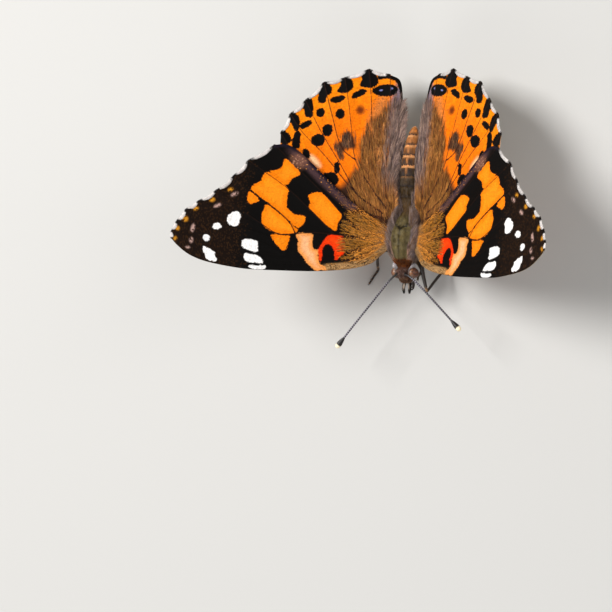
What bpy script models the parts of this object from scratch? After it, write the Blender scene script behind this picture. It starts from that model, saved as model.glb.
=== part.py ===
"""Painted lady butterfly, a still life-size model with spread wings that stands on the floor.

Run with Blender 4.5: blender --background --python part.py

Sizes are in millimetres and turned into metres by MM. The body is modelled in its own frame:
+X to the animal's left, +Y to its tail and +Z up from its back, with the head raised by the
body's pitch. A wing point is (u, v): u runs out along the wing from the middle plane of the
body, and v runs along the body towards the tail.
"""
import math

import bmesh
import bpy
from mathutils import Vector, geometry

MM = 0.001
GAP = 0.3
SIDES = {"left": 1, "right": -1}

# Stance
BODY_PITCH = math.radians(8.0)
STANCE_HEIGHT = 6.5
FRAME_SHIFT = -3.556

# Wings
FOREWING_DIHEDRAL = math.radians(28.4)
HINDWING_DIHEDRAL = math.radians(22.2)
FOREWING_ROOT_HEIGHT = -0.45
HINDWING_ROOT_HEIGHT = 0.5
WING_SEPARATION = 1.15
WING_THICKNESS = 0.5
VEIN_THICKNESS = 0.76
VEIN_HALF_WIDTH = 0.42
NOTCH_DEPTH = 0.42
WING_SPACING = 1.75
DIP_START = 0.8
DIP_LENGTH = 6.2

# Forewing outline and veins, (u, v)
FOREWING_COSTA = [(2.85, -2.5), (3.5, -3.5), (5.0, -4.75), (8.0, -5.8), (12.5, -6.6), (18.0, -7.1),
                  (23.0, -7.4), (28.0, -7.05), (31.0, -6.3), (33.0, -5.1), (34.0, -4.2)]
FOREWING_CRESTS = [(34.0, -4.2), (34.1, -3.1), (33.55, -1.6), (32.4, 0.3), (30.7, 1.75),
                   (28.25, 3.65), (26.05, 6.0), (24.2, 8.5), (20.6, 11.25)]
FOREWING_HIND = [(20.6, 11.25), (18.8, 11.5), (16.5, 10.4), (12.5, 7.2), (8.5, 4.2), (5.4, 2.3),
                 (3.0, 1.0)]
FOREWING_VEINS = [
    [(3.4, -2.2), (8.0, -4.6), (12.5, -5.5), (18.0, -6.1), (23.0, -6.5), (27.5, -6.3)],
    [(3.4, -1.6), (8.0, -3.4), (12.0, -4.2), (17.0, -4.9), (23.2, -4.9), (28.5, -4.7), (34.1, -3.1)],
    [(17.0, -4.9), (21.0, -3.4), (26.0, -2.9), (33.55, -1.6)],
    [(17.0, -4.9), (18.5, -2.9), (24.0, -1.5), (28.5, -0.6), (32.4, 0.3)],
    [(18.5, -2.9), (18.6, -1.8), (23.0, -0.4), (27.0, 0.7), (30.7, 1.75)],
    [(3.4, -1.1), (8.0, -1.0), (13.0, -1.0), (16.1, -1.5), (18.6, -1.8), (21.2, -0.6), (25.0, 1.5),
     (28.25, 3.65)],
    [(16.1, -1.5), (17.4, 0.3), (20.3, 2.3), (23.6, 4.2), (26.05, 6.0)],
    [(10.4, -1.0), (14.7, 2.5), (18.3, 5.2), (24.2, 8.5)],
    [(3.4, -0.4), (7.0, 0.3), (9.7, 2.2), (12.4, 4.6), (16.6, 7.95), (20.6, 11.25)],
]

# Hindwing outline and veins, (u, v)
HINDWING_COSTA = [(2.75, 1.7), (5.6, 1.1), (9.5, 2.0), (13.5, 4.4), (17.0, 7.9), (19.0, 10.6), (19.4, 13.2)]
HINDWING_CRESTS = [(19.4, 13.2), (18.3, 16.2), (16.3, 18.4), (13.9, 21.3), (10.9, 22.25),
                   (7.5, 23.85), (4.3, 23.3)]
HINDWING_INNER = [(4.3, 23.3), (2.7, 22.5), (2.0, 19.5), (1.55, 16.5), (1.7, 13.0), (2.0, 10.0),
                  (2.2, 7.0), (2.5, 4.4)]
HINDWING_VEINS = [
    [(3.9, 2.2), (8.0, 3.2), (12.0, 5.4), (16.0, 9.2), (19.4, 13.2)],
    [(3.9, 3.0), (8.0, 5.6), (12.8, 10.6), (16.2, 13.6), (18.3, 16.2)],
    [(8.0, 5.6), (10.6, 9.8), (13.4, 13.8), (16.3, 18.4)],
    [(8.0, 10.2), (10.3, 12.0), (12.2, 16.7), (13.9, 21.3)],
    [(3.4, 3.8), (6.0, 7.0), (8.0, 10.2), (9.0, 14.5), (9.9, 18.5), (10.9, 22.25)],
    [(6.0, 7.0), (6.1, 13.0), (6.6, 19.0), (7.5, 23.85)],
    [(3.2, 5.2), (3.4, 10.0), (3.6, 17.0), (4.3, 23.3)],
]

# Body sections: y, centre z, half width, half height
THORAX_SECTIONS = [(-4.2, -1.32, 1.2, 1.2), (-3.9, -1.15, 1.7, 1.7), (-3.1, -0.93, 2.15, 2.15),
                   (-2.0, -0.72, 2.45, 2.5), (-0.6, -0.6, 2.6, 2.6), (0.5, -0.6, 2.55, 2.55),
                   (0.9, -0.66, 2.4, 2.36), (1.3, -0.66, 2.38, 2.38), (2.4, -0.75, 2.0, 2.05),
                   (3.2, -0.88, 1.55, 1.6), (3.5, -0.9, 1.15, 1.2)]
HEAD_SECTIONS = [(-6.55, -1.85, 0.5, 0.5), (-6.3, -1.8, 0.9, 0.95), (-5.8, -1.7, 1.25, 1.3),
                 (-5.2, -1.6, 1.3, 1.4), (-4.75, -1.5, 1.25, 1.25), (-4.5, -1.45, 1.0, 1.0)]
HEAD_SIDE = 0.98
ABDOMEN_START = 3.8
ABDOMEN_SEGMENTS = 8
ABDOMEN_LENGTH = 12.3
ABDOMEN_RADIUS = 1.72
ABDOMEN_GROOVE = 0.93
EYE_CENTRE = (1.32, -5.3, -1.5)
EYE_RADII = (0.92, 0.9, 1.02)
BODY_SIDES = 24

# Feelers, palps and tongue
ANTENNA_PATHS = {
    "left": [(0.7, -5.75, -0.06), (2.0, -6.3, 0.0), (4.6, -8.4, -0.2), (7.4, -10.9, -0.6),
             (10.2, -13.5, -1.2)],
    "right": [(0.7, -5.8, -0.06), (1.7, -6.9, 0.0), (4.4, -10.1, -0.5), (7.2, -13.5, -0.9),
              (9.9, -16.9, -1.3)],
}
ANTENNA_RADIUS = 0.26
ANTENNA_TIP_RADIUS = 0.14
CLUB_RADIUS = 0.42
CLUB_LENGTH = 2.2
PALP_PATH = [(0.43, -6.8, -2.5), (0.47, -7.15, -2.55), (0.5, -7.6, -2.6), (0.45, -8.0, -2.7)]
PALP_RADII = [0.3, 0.36, 0.34, 0.15]
TONGUE_CENTRE = (-6.8, -4.15)
TONGUE_OUTER_RADIUS = 0.95
TONGUE_INNER_RADIUS = 0.2
TONGUE_TURNS = 1.25
TONGUE_THICKNESS = 0.4

# Legs, in the stance frame: knee, ankle, heel on the floor and toe
LEG_RADII = [0.34, 0.4, 0.3, 0.28, 0.28, 0.24]
FOOT_HEIGHT = 0.2
LEG_JOINTS = {
    "midleg_left": [(3.35, -8.1, 5.05), (4.2, -4.3, 0.9), (4.6, -4.0, FOOT_HEIGHT), (7.0, -3.2, FOOT_HEIGHT)],
    "midleg_right": [(4.9, -2.2, 5.3), (7.2, -4.7, 0.9), (7.5, -5.1, FOOT_HEIGHT), (8.9, -7.2, FOOT_HEIGHT)],
    "hindleg_left": [(4.6, 5.3, 5.0), (6.9, 10.6, 0.9), (7.0, 11.1, FOOT_HEIGHT), (7.7, 13.6, FOOT_HEIGHT)],
    "hindleg_right": [(4.3, 5.6, 5.0), (6.3, 11.0, 0.9), (6.4, 11.5, FOOT_HEIGHT), (7.0, 14.0, FOOT_HEIGHT)],
}
LEG_HIPS = {"midleg": (-1.9, -56.0), "hindleg": (1.5, -55.0)}
FORELEG_HIP = (-3.2, -66.0)
FORELEG_REACH = [(1.45, -4.5, -3.7), (0.95, -5.7, -3.85)]
FORELEG_RADII = [0.28, 0.3, 0.26, 0.16]


def clear_scene():
    """Remove every object of the startup scene."""
    for item in list(bpy.data.objects):
        bpy.data.objects.remove(item, do_unlink=True)


def make_material(name, colour, roughness):
    """Make one Principled material."""
    material = bpy.data.materials.new(name)
    material.use_nodes = True
    shader = material.node_tree.nodes["Principled BSDF"]
    shader.inputs["Base Color"].default_value = (*colour, 1.0)
    shader.inputs["Roughness"].default_value = roughness
    shader.inputs["Metallic"].default_value = 0.0
    return material


def make_empty(name, location, rotation, parent, collection):
    """Make an empty that carries the pieces of one frame."""
    empty = bpy.data.objects.new(name, None)
    empty.location = Vector(location) * MM
    empty.rotation_euler = rotation
    empty.parent = parent
    empty.hide_render = True
    collection.objects.link(empty)
    return empty


def add_object(name, mesh, material, parent, collection):
    """Put a mesh in the collection as one named node."""
    node = bpy.data.objects.new(name, mesh)
    mesh.materials.clear()
    mesh.materials.append(material)
    node.parent = parent
    collection.objects.link(node)
    return node


def smooth_path(points, samples):
    """Return points along a Catmull-Rom curve through the given points."""
    knots = [Vector(point) for point in points]
    knots = [knots[0] * 2 - knots[1]] + knots + [knots[-1] * 2 - knots[-2]]
    path = []
    for before, start, end, after in zip(knots, knots[1:], knots[2:], knots[3:]):
        for step in range(samples):
            t = step / samples
            bend = (before * 2 - start * 5 + end * 4 - after) * t * t
            turn = (start * 3 - before - end * 3 + after) * t * t * t
            path.append((start * 2 + (end - before) * t + bend + turn) * 0.5)
    path.append(knots[-2])
    return path


def resample(path, spacing):
    """Return points at even steps near the given spacing along a path, ends included."""
    lengths = [0.0]
    for start, end in zip(path, path[1:]):
        lengths.append(lengths[-1] + (end - start).length)
    count = max(1, round(lengths[-1] / spacing))
    result = []
    index = 0
    for step in range(count + 1):
        wanted = lengths[-1] * step / count
        while index < len(path) - 2 and lengths[index + 1] < wanted:
            index += 1
        share = (wanted - lengths[index]) / (lengths[index + 1] - lengths[index])
        result.append(path[index].lerp(path[index + 1], share))
    return result


def scalloped(crests, inner_point):
    """Return a margin through the crests that is drawn in between each two of them."""
    margin = []
    middle = Vector(inner_point)
    for start, end in zip(crests, crests[1:]):
        start, end = Vector(start), Vector(end)
        chord = end - start
        inward = Vector((-chord.y, chord.x)).normalized()
        if inward.dot(middle - start) < 0:
            inward = -inward
        depth = min(NOTCH_DEPTH, chord.length * 0.16)
        for step in range(4):
            t = step / 4
            margin.append(start.lerp(end, t) + inward * depth * math.sin(math.pi * t))
    margin.append(Vector(crests[-1]))
    return margin


def forewing_height(x):
    """Height of the forewing's middle surface at a distance from the middle plane."""
    return x * math.tan(FOREWING_DIHEDRAL) + FOREWING_ROOT_HEIGHT


def hindwing_height(x, y):
    """Height of the hindwing's middle surface, which dips to pass under the forewing."""
    height = x * math.tan(HINDWING_DIHEDRAL) + HINDWING_ROOT_HEIGHT
    dip = max(0.0, height - forewing_height(x) + WING_SEPARATION)
    edge_start, edge_end = Vector(FOREWING_HIND[-1]), Vector(FOREWING_HIND[2])
    slope = (edge_end.y - edge_start.y) / (edge_end.x - edge_start.x)
    edge = edge_start.y + slope * (x / math.cos(FOREWING_DIHEDRAL) - edge_start.x)
    share = min(1.0, max(0.0, (y - edge - DIP_START) / DIP_LENGTH))
    return height - dip * (1.0 - share * share * (3.0 - 2.0 * share))


def vein_samples(veins):
    """Return the points of each vein and their share of its length."""
    lines = []
    for vein in veins:
        path = resample(smooth_path(vein, 4), 2.2)
        lines.append([(point, index / (len(path) - 1)) for index, point in enumerate(path)])
    return lines


def distance_to_lines(point, lines):
    """Distance from a point to the nearest vein."""
    best = 1e9
    for line in lines:
        for (start, _), (end, _) in zip(line, line[1:]):
            near, share = geometry.intersect_point_line(point, start, end)
            share = min(1.0, max(0.0, share))
            best = min(best, (point - start.lerp(end, share)).length)
    return best


def inside_outline(point, outline):
    """Tell whether a point is inside a closed outline."""
    inside = False
    for start, end in zip(outline, outline[1:] + outline[:1]):
        if (start.y > point.y) != (end.y > point.y):
            cross = start.x + (point.y - start.y) * (end.x - start.x) / (end.y - start.y)
            if point.x < cross:
                inside = not inside
    return inside


def wing_points(outline, veins):
    """Return the flat points of a wing, its fixed edges and each point's thickness share."""
    points = [point.copy() for point in outline]
    edges = [(index, (index + 1) % len(points)) for index in range(len(points))]
    membrane = WING_THICKNESS / VEIN_THICKNESS
    shares = [membrane] * len(points)
    rim = [[(point, 0.0) for point in outline + outline[:1]]]
    lines = vein_samples(veins)
    for line in lines:
        previous = None
        for point, along in line:
            if distance_to_lines(point, rim) < VEIN_HALF_WIDTH or not inside_outline(point, outline):
                continue
            same = [i for i in range(len(outline), len(points)) if (points[i] - point).length < 0.3]
            if not same:
                points.append(point)
                shares.append(1.0 - (1.0 - membrane) * 0.45 * along)
            here = same[0] if same else len(points) - 1
            if previous is not None and previous != here:
                edges.append((previous, here))
            previous = here
    fixed = len(points)
    for line in lines:
        for (start, _), (end, _) in zip(line, line[1:]):
            across = Vector((start.y - end.y, end.x - start.x)).normalized() * VEIN_HALF_WIDTH
            for side in (1, -1):
                spot = start.lerp(end, 0.5) + across * side
                clear = min(distance_to_lines(spot, lines), distance_to_lines(spot, rim))
                crowded = any((points[i] - spot).length < 0.5 for i in range(fixed, len(points)))
                if clear > VEIN_HALF_WIDTH * 0.9 and not crowded and inside_outline(spot, outline):
                    points.append(spot)
                    shares.append(membrane)
    columns = int(36 / WING_SPACING)
    for column in range(columns):
        for row in range(columns):
            spot = Vector((column + 0.5 * (row % 2), row - columns / 4)) * WING_SPACING
            if not inside_outline(spot, outline) or distance_to_lines(spot, rim) < WING_SPACING * 0.4:
                continue
            if distance_to_lines(spot, lines) > WING_SPACING * 0.48:
                points.append(spot)
                shares.append(membrane)
    return points, edges, shares


def make_wing(name, outline, veins, surface, side, material, parent, collection):
    """Make one wing: a flat net of triangles, bent to its surface and thickened, veins most."""
    points, edges, shares = wing_points(outline, veins)
    result = geometry.delaunay_2d_cdt(points, edges, [], 1, 1e-4)
    corners, triangles, origins = result[0], result[2], result[3]
    bm = bmesh.new()
    weight = bm.verts.layers.deform.verify()
    for corner, origin in zip(corners, origins):
        vertex = bm.verts.new(surface(corner.x, corner.y, side) * MM)
        vertex[weight][0] = max((shares[i] for i in origin), default=WING_THICKNESS / VEIN_THICKNESS)
    bm.verts.ensure_lookup_table()
    for triangle in triangles:
        order = triangle if side > 0 else reversed(triangle)
        bm.faces.new([bm.verts[index] for index in order])
    bmesh.ops.delete(bm, geom=[vertex for vertex in bm.verts if not vertex.link_faces], context="VERTS")
    mesh = bpy.data.meshes.new(name)
    bm.to_mesh(mesh)
    bm.free()
    wing = add_object(name, mesh, material, parent, collection)
    wing.vertex_groups.new(name="thickness")
    solid = wing.modifiers.new("thickness", "SOLIDIFY")
    solid.thickness = VEIN_THICKNESS * MM
    solid.offset = 0.0
    solid.vertex_group = "thickness"
    return wing


def forewing_surface(u, v, side):
    """Place a forewing point in the body frame."""
    x = u * math.cos(FOREWING_DIHEDRAL)
    return Vector((side * x, v, forewing_height(x)))


def hindwing_surface(u, v, side):
    """Place a hindwing point in the body frame."""
    x = u * math.cos(HINDWING_DIHEDRAL)
    return Vector((side * x, v, hindwing_height(x, v)))


def forewing_outline():
    """Return the forewing's closed outline, with its scalloped outer margin."""
    costa = resample(smooth_path(FOREWING_COSTA, 6), 1.5)
    hind = resample(smooth_path(FOREWING_HIND, 6), 1.5)
    return costa[:-1] + scalloped(FOREWING_CRESTS, (16.0, 0.0))[:-1] + hind


def hindwing_outline():
    """Return the hindwing's closed outline, with its scalloped outer margin."""
    costa = resample(smooth_path(HINDWING_COSTA, 6), 1.5)
    inner = resample(smooth_path(HINDWING_INNER, 6), 1.5)
    return costa[:-1] + scalloped(HINDWING_CRESTS, (10.0, 12.0))[:-1] + inner


def loft_mesh(name, sections, sides):
    """Make a closed form through oval sections along Y, with a blunt cap at each end."""
    bm = bmesh.new()
    rings = []
    for y, z, half_width, half_height in sections:
        ring = []
        for index in range(sides):
            angle = 2 * math.pi * index / sides
            spot = Vector((half_width * math.cos(angle), y, z + half_height * math.sin(angle)))
            ring.append(bm.verts.new(spot * MM))
        rings.append(ring)
    for ring, following in zip(rings, rings[1:]):
        for index in range(sides):
            after = (index + 1) % sides
            bm.faces.new((ring[index], following[index], following[after], ring[after]))
    bm.faces.new(rings[0])
    bm.faces.new(reversed(rings[-1]))
    mesh = bpy.data.meshes.new(name)
    bmesh.ops.recalc_face_normals(bm, faces=bm.faces)
    bm.to_mesh(mesh)
    bm.free()
    return mesh


def cut_flat(mesh, point, direction):
    """Cut away what lies past a plane and close the cut with one flat face."""
    bm = bmesh.new()
    bm.from_mesh(mesh)
    everything = bm.verts[:] + bm.edges[:] + bm.faces[:]
    cut = bmesh.ops.bisect_plane(bm, geom=everything, dist=1e-7, plane_co=Vector(point) * MM,
                                 plane_no=direction, clear_outer=True)
    edges = [item for item in cut["geom_cut"] if isinstance(item, bmesh.types.BMEdge)]
    bmesh.ops.edgenet_fill(bm, edges=edges)
    bmesh.ops.recalc_face_normals(bm, faces=bm.faces)
    bm.to_mesh(mesh)
    bm.free()


def tube_mesh(name, path, radii, collection):
    """Make a closed tube of changing thickness along a path, as a mesh."""
    curve = bpy.data.curves.new(name, "CURVE")
    curve.dimensions = "3D"
    curve.bevel_depth = MM
    curve.bevel_resolution = 2
    curve.use_fill_caps = True
    spline = curve.splines.new("POLY")
    spline.points.add(len(path) - 1)
    for point, spot, radius in zip(spline.points, path, radii):
        point.co = (*(Vector(spot) * MM), 1.0)
        point.radius = radius
    carrier = bpy.data.objects.new(name + "_curve", curve)
    collection.objects.link(carrier)
    mesh = bpy.data.meshes.new_from_object(carrier.evaluated_get(bpy.context.evaluated_depsgraph_get()))
    bpy.data.objects.remove(carrier, do_unlink=True)
    mesh.name = name
    bm = bmesh.new()
    bm.from_mesh(mesh)
    bmesh.ops.remove_doubles(bm, verts=bm.verts, dist=1e-7)
    bmesh.ops.recalc_face_normals(bm, faces=bm.faces)
    bm.to_mesh(mesh)
    bm.free()
    return mesh


def mirrored(points, side):
    """Return points on the asked side of the middle plane."""
    return [Vector((side * x, y, z)) for x, y, z in points]


def thorax_point(y, degrees, side, outset):
    """Return the point at an angle on the thorax, moved out from its surface."""
    for front, back in zip(THORAX_SECTIONS, THORAX_SECTIONS[1:]):
        if front[0] <= y <= back[0]:
            share = (y - front[0]) / (back[0] - front[0])
            z, half_width, half_height = (a + (b - a) * share for a, b in zip(front[1:], back[1:]))
            angle = math.radians(degrees)
            x = (half_width + outset) * math.cos(angle)
            return Vector((side * x, y, z + (half_height + outset) * math.sin(angle)))
    raise ValueError("no thorax at this y")


def abdomen_sections():
    """Return the abdomen's sections: each segment swells and is drawn in at its end."""
    sections = []
    for index in range(ABDOMEN_SEGMENTS):
        for share, swell in ((0.0, ABDOMEN_GROOVE), (0.3, 1.0), (0.75, 1.0)):
            along = (index + share) / ABDOMEN_SEGMENTS
            waist = 0.72 + 0.28 * min(1.0, along * 4)
            radius = ABDOMEN_RADIUS * math.sqrt(max(0.0, 1.0 - along ** 2.6)) * waist
            height = -0.9 + 1.35 * math.sin(math.pi / 2 * min(1.0, 1.25 * along))
            y = ABDOMEN_START + ABDOMEN_LENGTH * along
            sections.append((y, height, radius * swell, radius * swell))
    sections.append((ABDOMEN_START + ABDOMEN_LENGTH, 0.45, 0.3, 0.3))
    return sections


def make_body(materials, parent, collection):
    """Make the head, eyes, thorax and abdomen."""
    head = loft_mesh("head", HEAD_SECTIONS, BODY_SIDES)
    for side in (1, -1):
        cut_flat(head, (side * HEAD_SIDE, 0, 0), (side, 0, 0))
    add_object("head", head, materials["head"], parent, collection)
    for label, side in SIDES.items():
        bm = bmesh.new()
        bmesh.ops.create_uvsphere(bm, u_segments=18, v_segments=12, radius=MM)
        bmesh.ops.scale(bm, vec=EYE_RADII, verts=bm.verts)
        bmesh.ops.translate(bm, vec=mirrored([EYE_CENTRE], side)[0] * MM, verts=bm.verts)
        eye = bpy.data.meshes.new("eye_" + label)
        bm.to_mesh(eye)
        bm.free()
        cut_flat(eye, (side * (HEAD_SIDE + GAP), 0, 0), (-side, 0, 0))
        add_object("eye_" + label, eye, materials["eye"], parent, collection)
    thorax = loft_mesh("thorax", THORAX_SECTIONS, BODY_SIDES)
    add_object("thorax", thorax, materials["thorax"], parent, collection)
    abdomen = loft_mesh("abdomen", abdomen_sections(), 20)
    add_object("abdomen", abdomen, materials["abdomen"], parent, collection)


def make_wings(materials, parent, collection):
    """Make the two forewings and the two hindwings."""
    for label, side in SIDES.items():
        make_wing("forewing_" + label, forewing_outline(), FOREWING_VEINS, forewing_surface, side,
                  materials["forewing"], parent, collection)
        make_wing("hindwing_" + label, hindwing_outline(), HINDWING_VEINS, hindwing_surface, side,
                  materials["hindwing"], parent, collection)


def make_mouth(materials, parent, collection):
    """Make the palps and the coiled tongue under the head."""
    for label, side in SIDES.items():
        palp = tube_mesh("palp_" + label, mirrored(PALP_PATH, side), PALP_RADII, collection)
        add_object("palp_" + label, palp, materials["palp"], parent, collection)
    steps = 22
    path = []
    for step in range(steps + 1):
        share = step / steps
        angle = math.pi / 2 + 2 * math.pi * TONGUE_TURNS * share
        radius = TONGUE_OUTER_RADIUS + (TONGUE_INNER_RADIUS - TONGUE_OUTER_RADIUS) * share
        path.append(Vector((0.0, TONGUE_CENTRE[0] - radius * math.cos(angle),
                            TONGUE_CENTRE[1] + radius * math.sin(angle))))
    radii = [TONGUE_THICKNESS / 2] * len(path)
    tongue = tube_mesh("proboscis", path, radii, collection)
    add_object("proboscis", tongue, materials["leg"], parent, collection)


def make_antennae(materials, parent, collection):
    """Make the two clubbed feelers."""
    for label, side in SIDES.items():
        path = resample(smooth_path(mirrored(ANTENNA_PATHS[label], side), 8), 0.55)
        lengths = [(point - path[-1]).length for point in path]
        radii = []
        for left in lengths:
            swell = math.sin(math.pi * min(1.0, left / CLUB_LENGTH) ** 0.7)
            base = ANTENNA_RADIUS if left > 0.1 else ANTENNA_TIP_RADIUS
            radii.append(base + (CLUB_RADIUS - ANTENNA_RADIUS) * max(0.0, swell))
        mesh = tube_mesh("antenna_" + label, path, radii, collection)
        add_object("antenna_" + label, mesh, materials["antenna"], parent, collection)


def make_legs(materials, stance, body, collection):
    """Make the four walking legs, flat under their feet, and the two small folded forelegs."""
    bpy.context.view_layer.update()
    to_stance = stance.matrix_world.inverted() @ body.matrix_world
    for name, joints in LEG_JOINTS.items():
        kind, label = name.split("_")
        side = SIDES[label]
        starts = [thorax_point(*LEG_HIPS[kind], side, outset) for outset in (GAP, GAP + 0.7)]
        starts = [(to_stance @ (start * MM)) / MM for start in starts]
        leg = tube_mesh(name, starts + mirrored(joints, side), LEG_RADII, collection)
        cut_flat(leg, (0, 0, 0), (0, 0, -1))
        add_object(name, leg, materials["leg"], stance, collection)
    for label, side in SIDES.items():
        starts = [thorax_point(*FORELEG_HIP, side, outset) for outset in (GAP, GAP + 0.5)]
        path = starts + mirrored(FORELEG_REACH, side)
        leg = tube_mesh("foreleg_" + label, path, FORELEG_RADII, collection)
        add_object("foreleg_" + label, leg, materials["leg"], body, collection)


def main():
    """Build the butterfly."""
    clear_scene()
    collection = bpy.data.collections.new("painted_lady_butterfly")
    bpy.context.scene.collection.children.link(collection)
    materials = {
        "forewing": make_material("forewing_scales", (0.85, 0.32, 0.05), 0.75),
        "hindwing": make_material("hindwing_scales", (0.9, 0.36, 0.04), 0.75),
        "thorax": make_material("thorax_hair", (0.2, 0.15, 0.07), 0.9),
        "head": make_material("head_hair", (0.16, 0.12, 0.06), 0.9),
        "abdomen": make_material("abdomen_scales", (0.55, 0.28, 0.12), 0.85),
        "eye": make_material("eye_surface", (0.14, 0.08, 0.04), 0.25),
        "palp": make_material("palp_hair", (0.18, 0.14, 0.1), 0.85),
        "antenna": make_material("antenna_rings", (0.08, 0.06, 0.05), 0.6),
        "leg": make_material("leg_scales", (0.1, 0.07, 0.05), 0.7),
    }
    stance = make_empty("stance_frame", (0, FRAME_SHIFT, 0), (0, 0, 0), None, collection)
    body = make_empty("body_frame", (0, 0, STANCE_HEIGHT), (-BODY_PITCH, 0, 0), stance, collection)
    make_body(materials, body, collection)
    make_wings(materials, body, collection)
    make_mouth(materials, body, collection)
    make_antennae(materials, body, collection)
    make_legs(materials, stance, body, collection)


main()
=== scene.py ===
"""Looks of a painted lady butterfly: thin scaled wings, a haired body, ringed feelers and legs.

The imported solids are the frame. Wing points are (u, v) in millimetres: u runs out along the wing
from the middle plane of the body, and v runs along the body towards the tail. Body points are
millimetres in the body's own frame: +X to the animal's left, +Y to its tail and +Z up.
"""
from __future__ import annotations

import logging
import math
from collections.abc import Callable, Sequence
from dataclasses import dataclass, field, replace
from enum import Enum

import bpy
import numpy as np
from mathutils import Matrix, Vector, geometry

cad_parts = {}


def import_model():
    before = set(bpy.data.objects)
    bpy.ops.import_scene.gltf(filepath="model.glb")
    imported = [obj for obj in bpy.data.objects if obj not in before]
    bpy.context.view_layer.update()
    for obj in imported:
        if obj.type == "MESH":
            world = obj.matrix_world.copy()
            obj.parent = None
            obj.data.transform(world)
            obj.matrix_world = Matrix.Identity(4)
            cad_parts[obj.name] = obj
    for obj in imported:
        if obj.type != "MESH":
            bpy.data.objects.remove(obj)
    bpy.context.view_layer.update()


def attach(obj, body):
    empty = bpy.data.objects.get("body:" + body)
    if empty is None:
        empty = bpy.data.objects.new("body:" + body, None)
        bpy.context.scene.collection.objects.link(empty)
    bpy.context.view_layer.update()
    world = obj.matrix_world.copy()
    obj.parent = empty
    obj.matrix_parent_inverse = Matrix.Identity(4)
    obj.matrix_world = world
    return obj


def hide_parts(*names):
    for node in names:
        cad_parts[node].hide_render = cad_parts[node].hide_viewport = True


logging.basicConfig(level=logging.INFO, format="%(message)s")
LOG = logging.getLogger("painted_lady")

Array = np.ndarray
Random = np.random.Generator
Pair = tuple[float, float]
Triple = tuple[float, float, float]
Points = list[tuple[float, ...]]
Paint = dict[str, Array]
Material = bpy.types.Material
NodeTree = bpy.types.NodeTree
Node = bpy.types.Node

MM = 0.001
BAKE_MAP = "OFBake"
# How the solids' body is pitched, raised and moved, in millimetres
BODY_PITCH = math.radians(8.0)
STANCE_HEIGHT = 6.5
FRAME_SHIFT = -3.556
# How far each pair of wings is raised
FOREWING_TILT = math.radians(28.4)
HINDWING_TILT = math.radians(22.2)
# A distance that stands for nowhere near, in millimetres
FAR = 9.0
# Step along a mark's outline, and how far beyond it distances are measured, in millimetres
MARK_STEP = 0.25
MARK_REACH = 1.2
# Straight pieces between two points that a curve passes through
CURVE_PIECES = 12
# Share of the bake map that one hair takes
TUFT_PATCH = 0.003
# Chitin bends light a little more than glass does
CHITIN_IOR = 1.56


class Side(Enum):
    """The side of the body that a piece is on."""

    LEFT = 1
    RIGHT = -1

    @property
    def label(self) -> str:
        """Return the ending of the names of this side's pieces."""
        return self.name.lower()


class Layer(Enum):
    """Where a wing mark is painted: into the ground, or over it with a sharp edge of scales."""

    GROUND = "ground"
    FIRST = "a"
    SECOND = "b"

    @property
    def edge(self) -> str:
        """Return the name of the layer's distances to the edge of its marks."""
        return self.value + "_edge"

    @property
    def tint(self) -> str:
        """Return the name of the layer's colours."""
        return self.value + "_tint"


def linear(code: str) -> Array:
    """Turn an sRGB hex colour into linear RGB."""
    srgb = np.array([int(code[i:i + 2], 16) for i in (0, 2, 4)]) / 255.0
    return np.where(srgb <= 0.04045, srgb / 12.92, ((srgb + 0.055) / 1.055) ** 2.4)


def smoothstep(low: float, high: float, value: Array) -> Array:
    """Rise smoothly from 0 at low to 1 at high."""
    share = np.clip((value - low) / (high - low), 0.0, 1.0)
    return share * share * (3.0 - 2.0 * share)


def blend(start: Array, end: Array, share: Array) -> Array:
    """Mix rows of two colour arrays."""
    return start + (end - start) * share[:, None]


def dyed(code: str, count: int) -> Array:
    """Return the linear colour of a hex code once for each of a number of points."""
    return np.tile(linear(code), (count, 1))


def painted(colour: Array, *coats: tuple[str, Array]) -> Array:
    """Lay colours over each other in order.

    Args:
        colour: The colours underneath.
        coats: For each coat a hex colour, and the share that it covers at each point.

    Returns:
        The new colours.
    """
    for code, share in coats:
        colour = blend(colour, linear(code), share)
    return colour


def picked(codes: Sequence[str], count: int, rng: Random) -> Array:
    """Return one of some hex colours, picked at random, for each of a number of points."""
    return np.stack([linear(code) for code in codes])[rng.integers(0, len(codes), count)]


def unit(rows: Array, spare: float = 0.0) -> Array:
    """Scale each row to length 1; a small spare length keeps rows of zeros whole."""
    return rows / (np.linalg.norm(rows, axis=1)[:, None] + spare)


def sideways(ahead: Array, rng: Random) -> Array:
    """Pick a random unit direction square to each given one."""
    spin = rng.normal(0.0, 1.0, ahead.shape)
    return unit(spin - ahead * np.sum(spin * ahead, axis=1)[:, None])


def path_lengths(path: Array) -> Array:
    """Return how far along a path each of its points is."""
    return np.concatenate([[0.0], np.cumsum(np.linalg.norm(np.diff(path, axis=0), axis=1))])


def girths(path: Array, stops: Sequence[float], radii: Sequence[float]) -> Array:
    """Give a tube's radius at each point of its path."""
    return np.interp(np.linspace(0, 1, len(path)), stops, radii)


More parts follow.
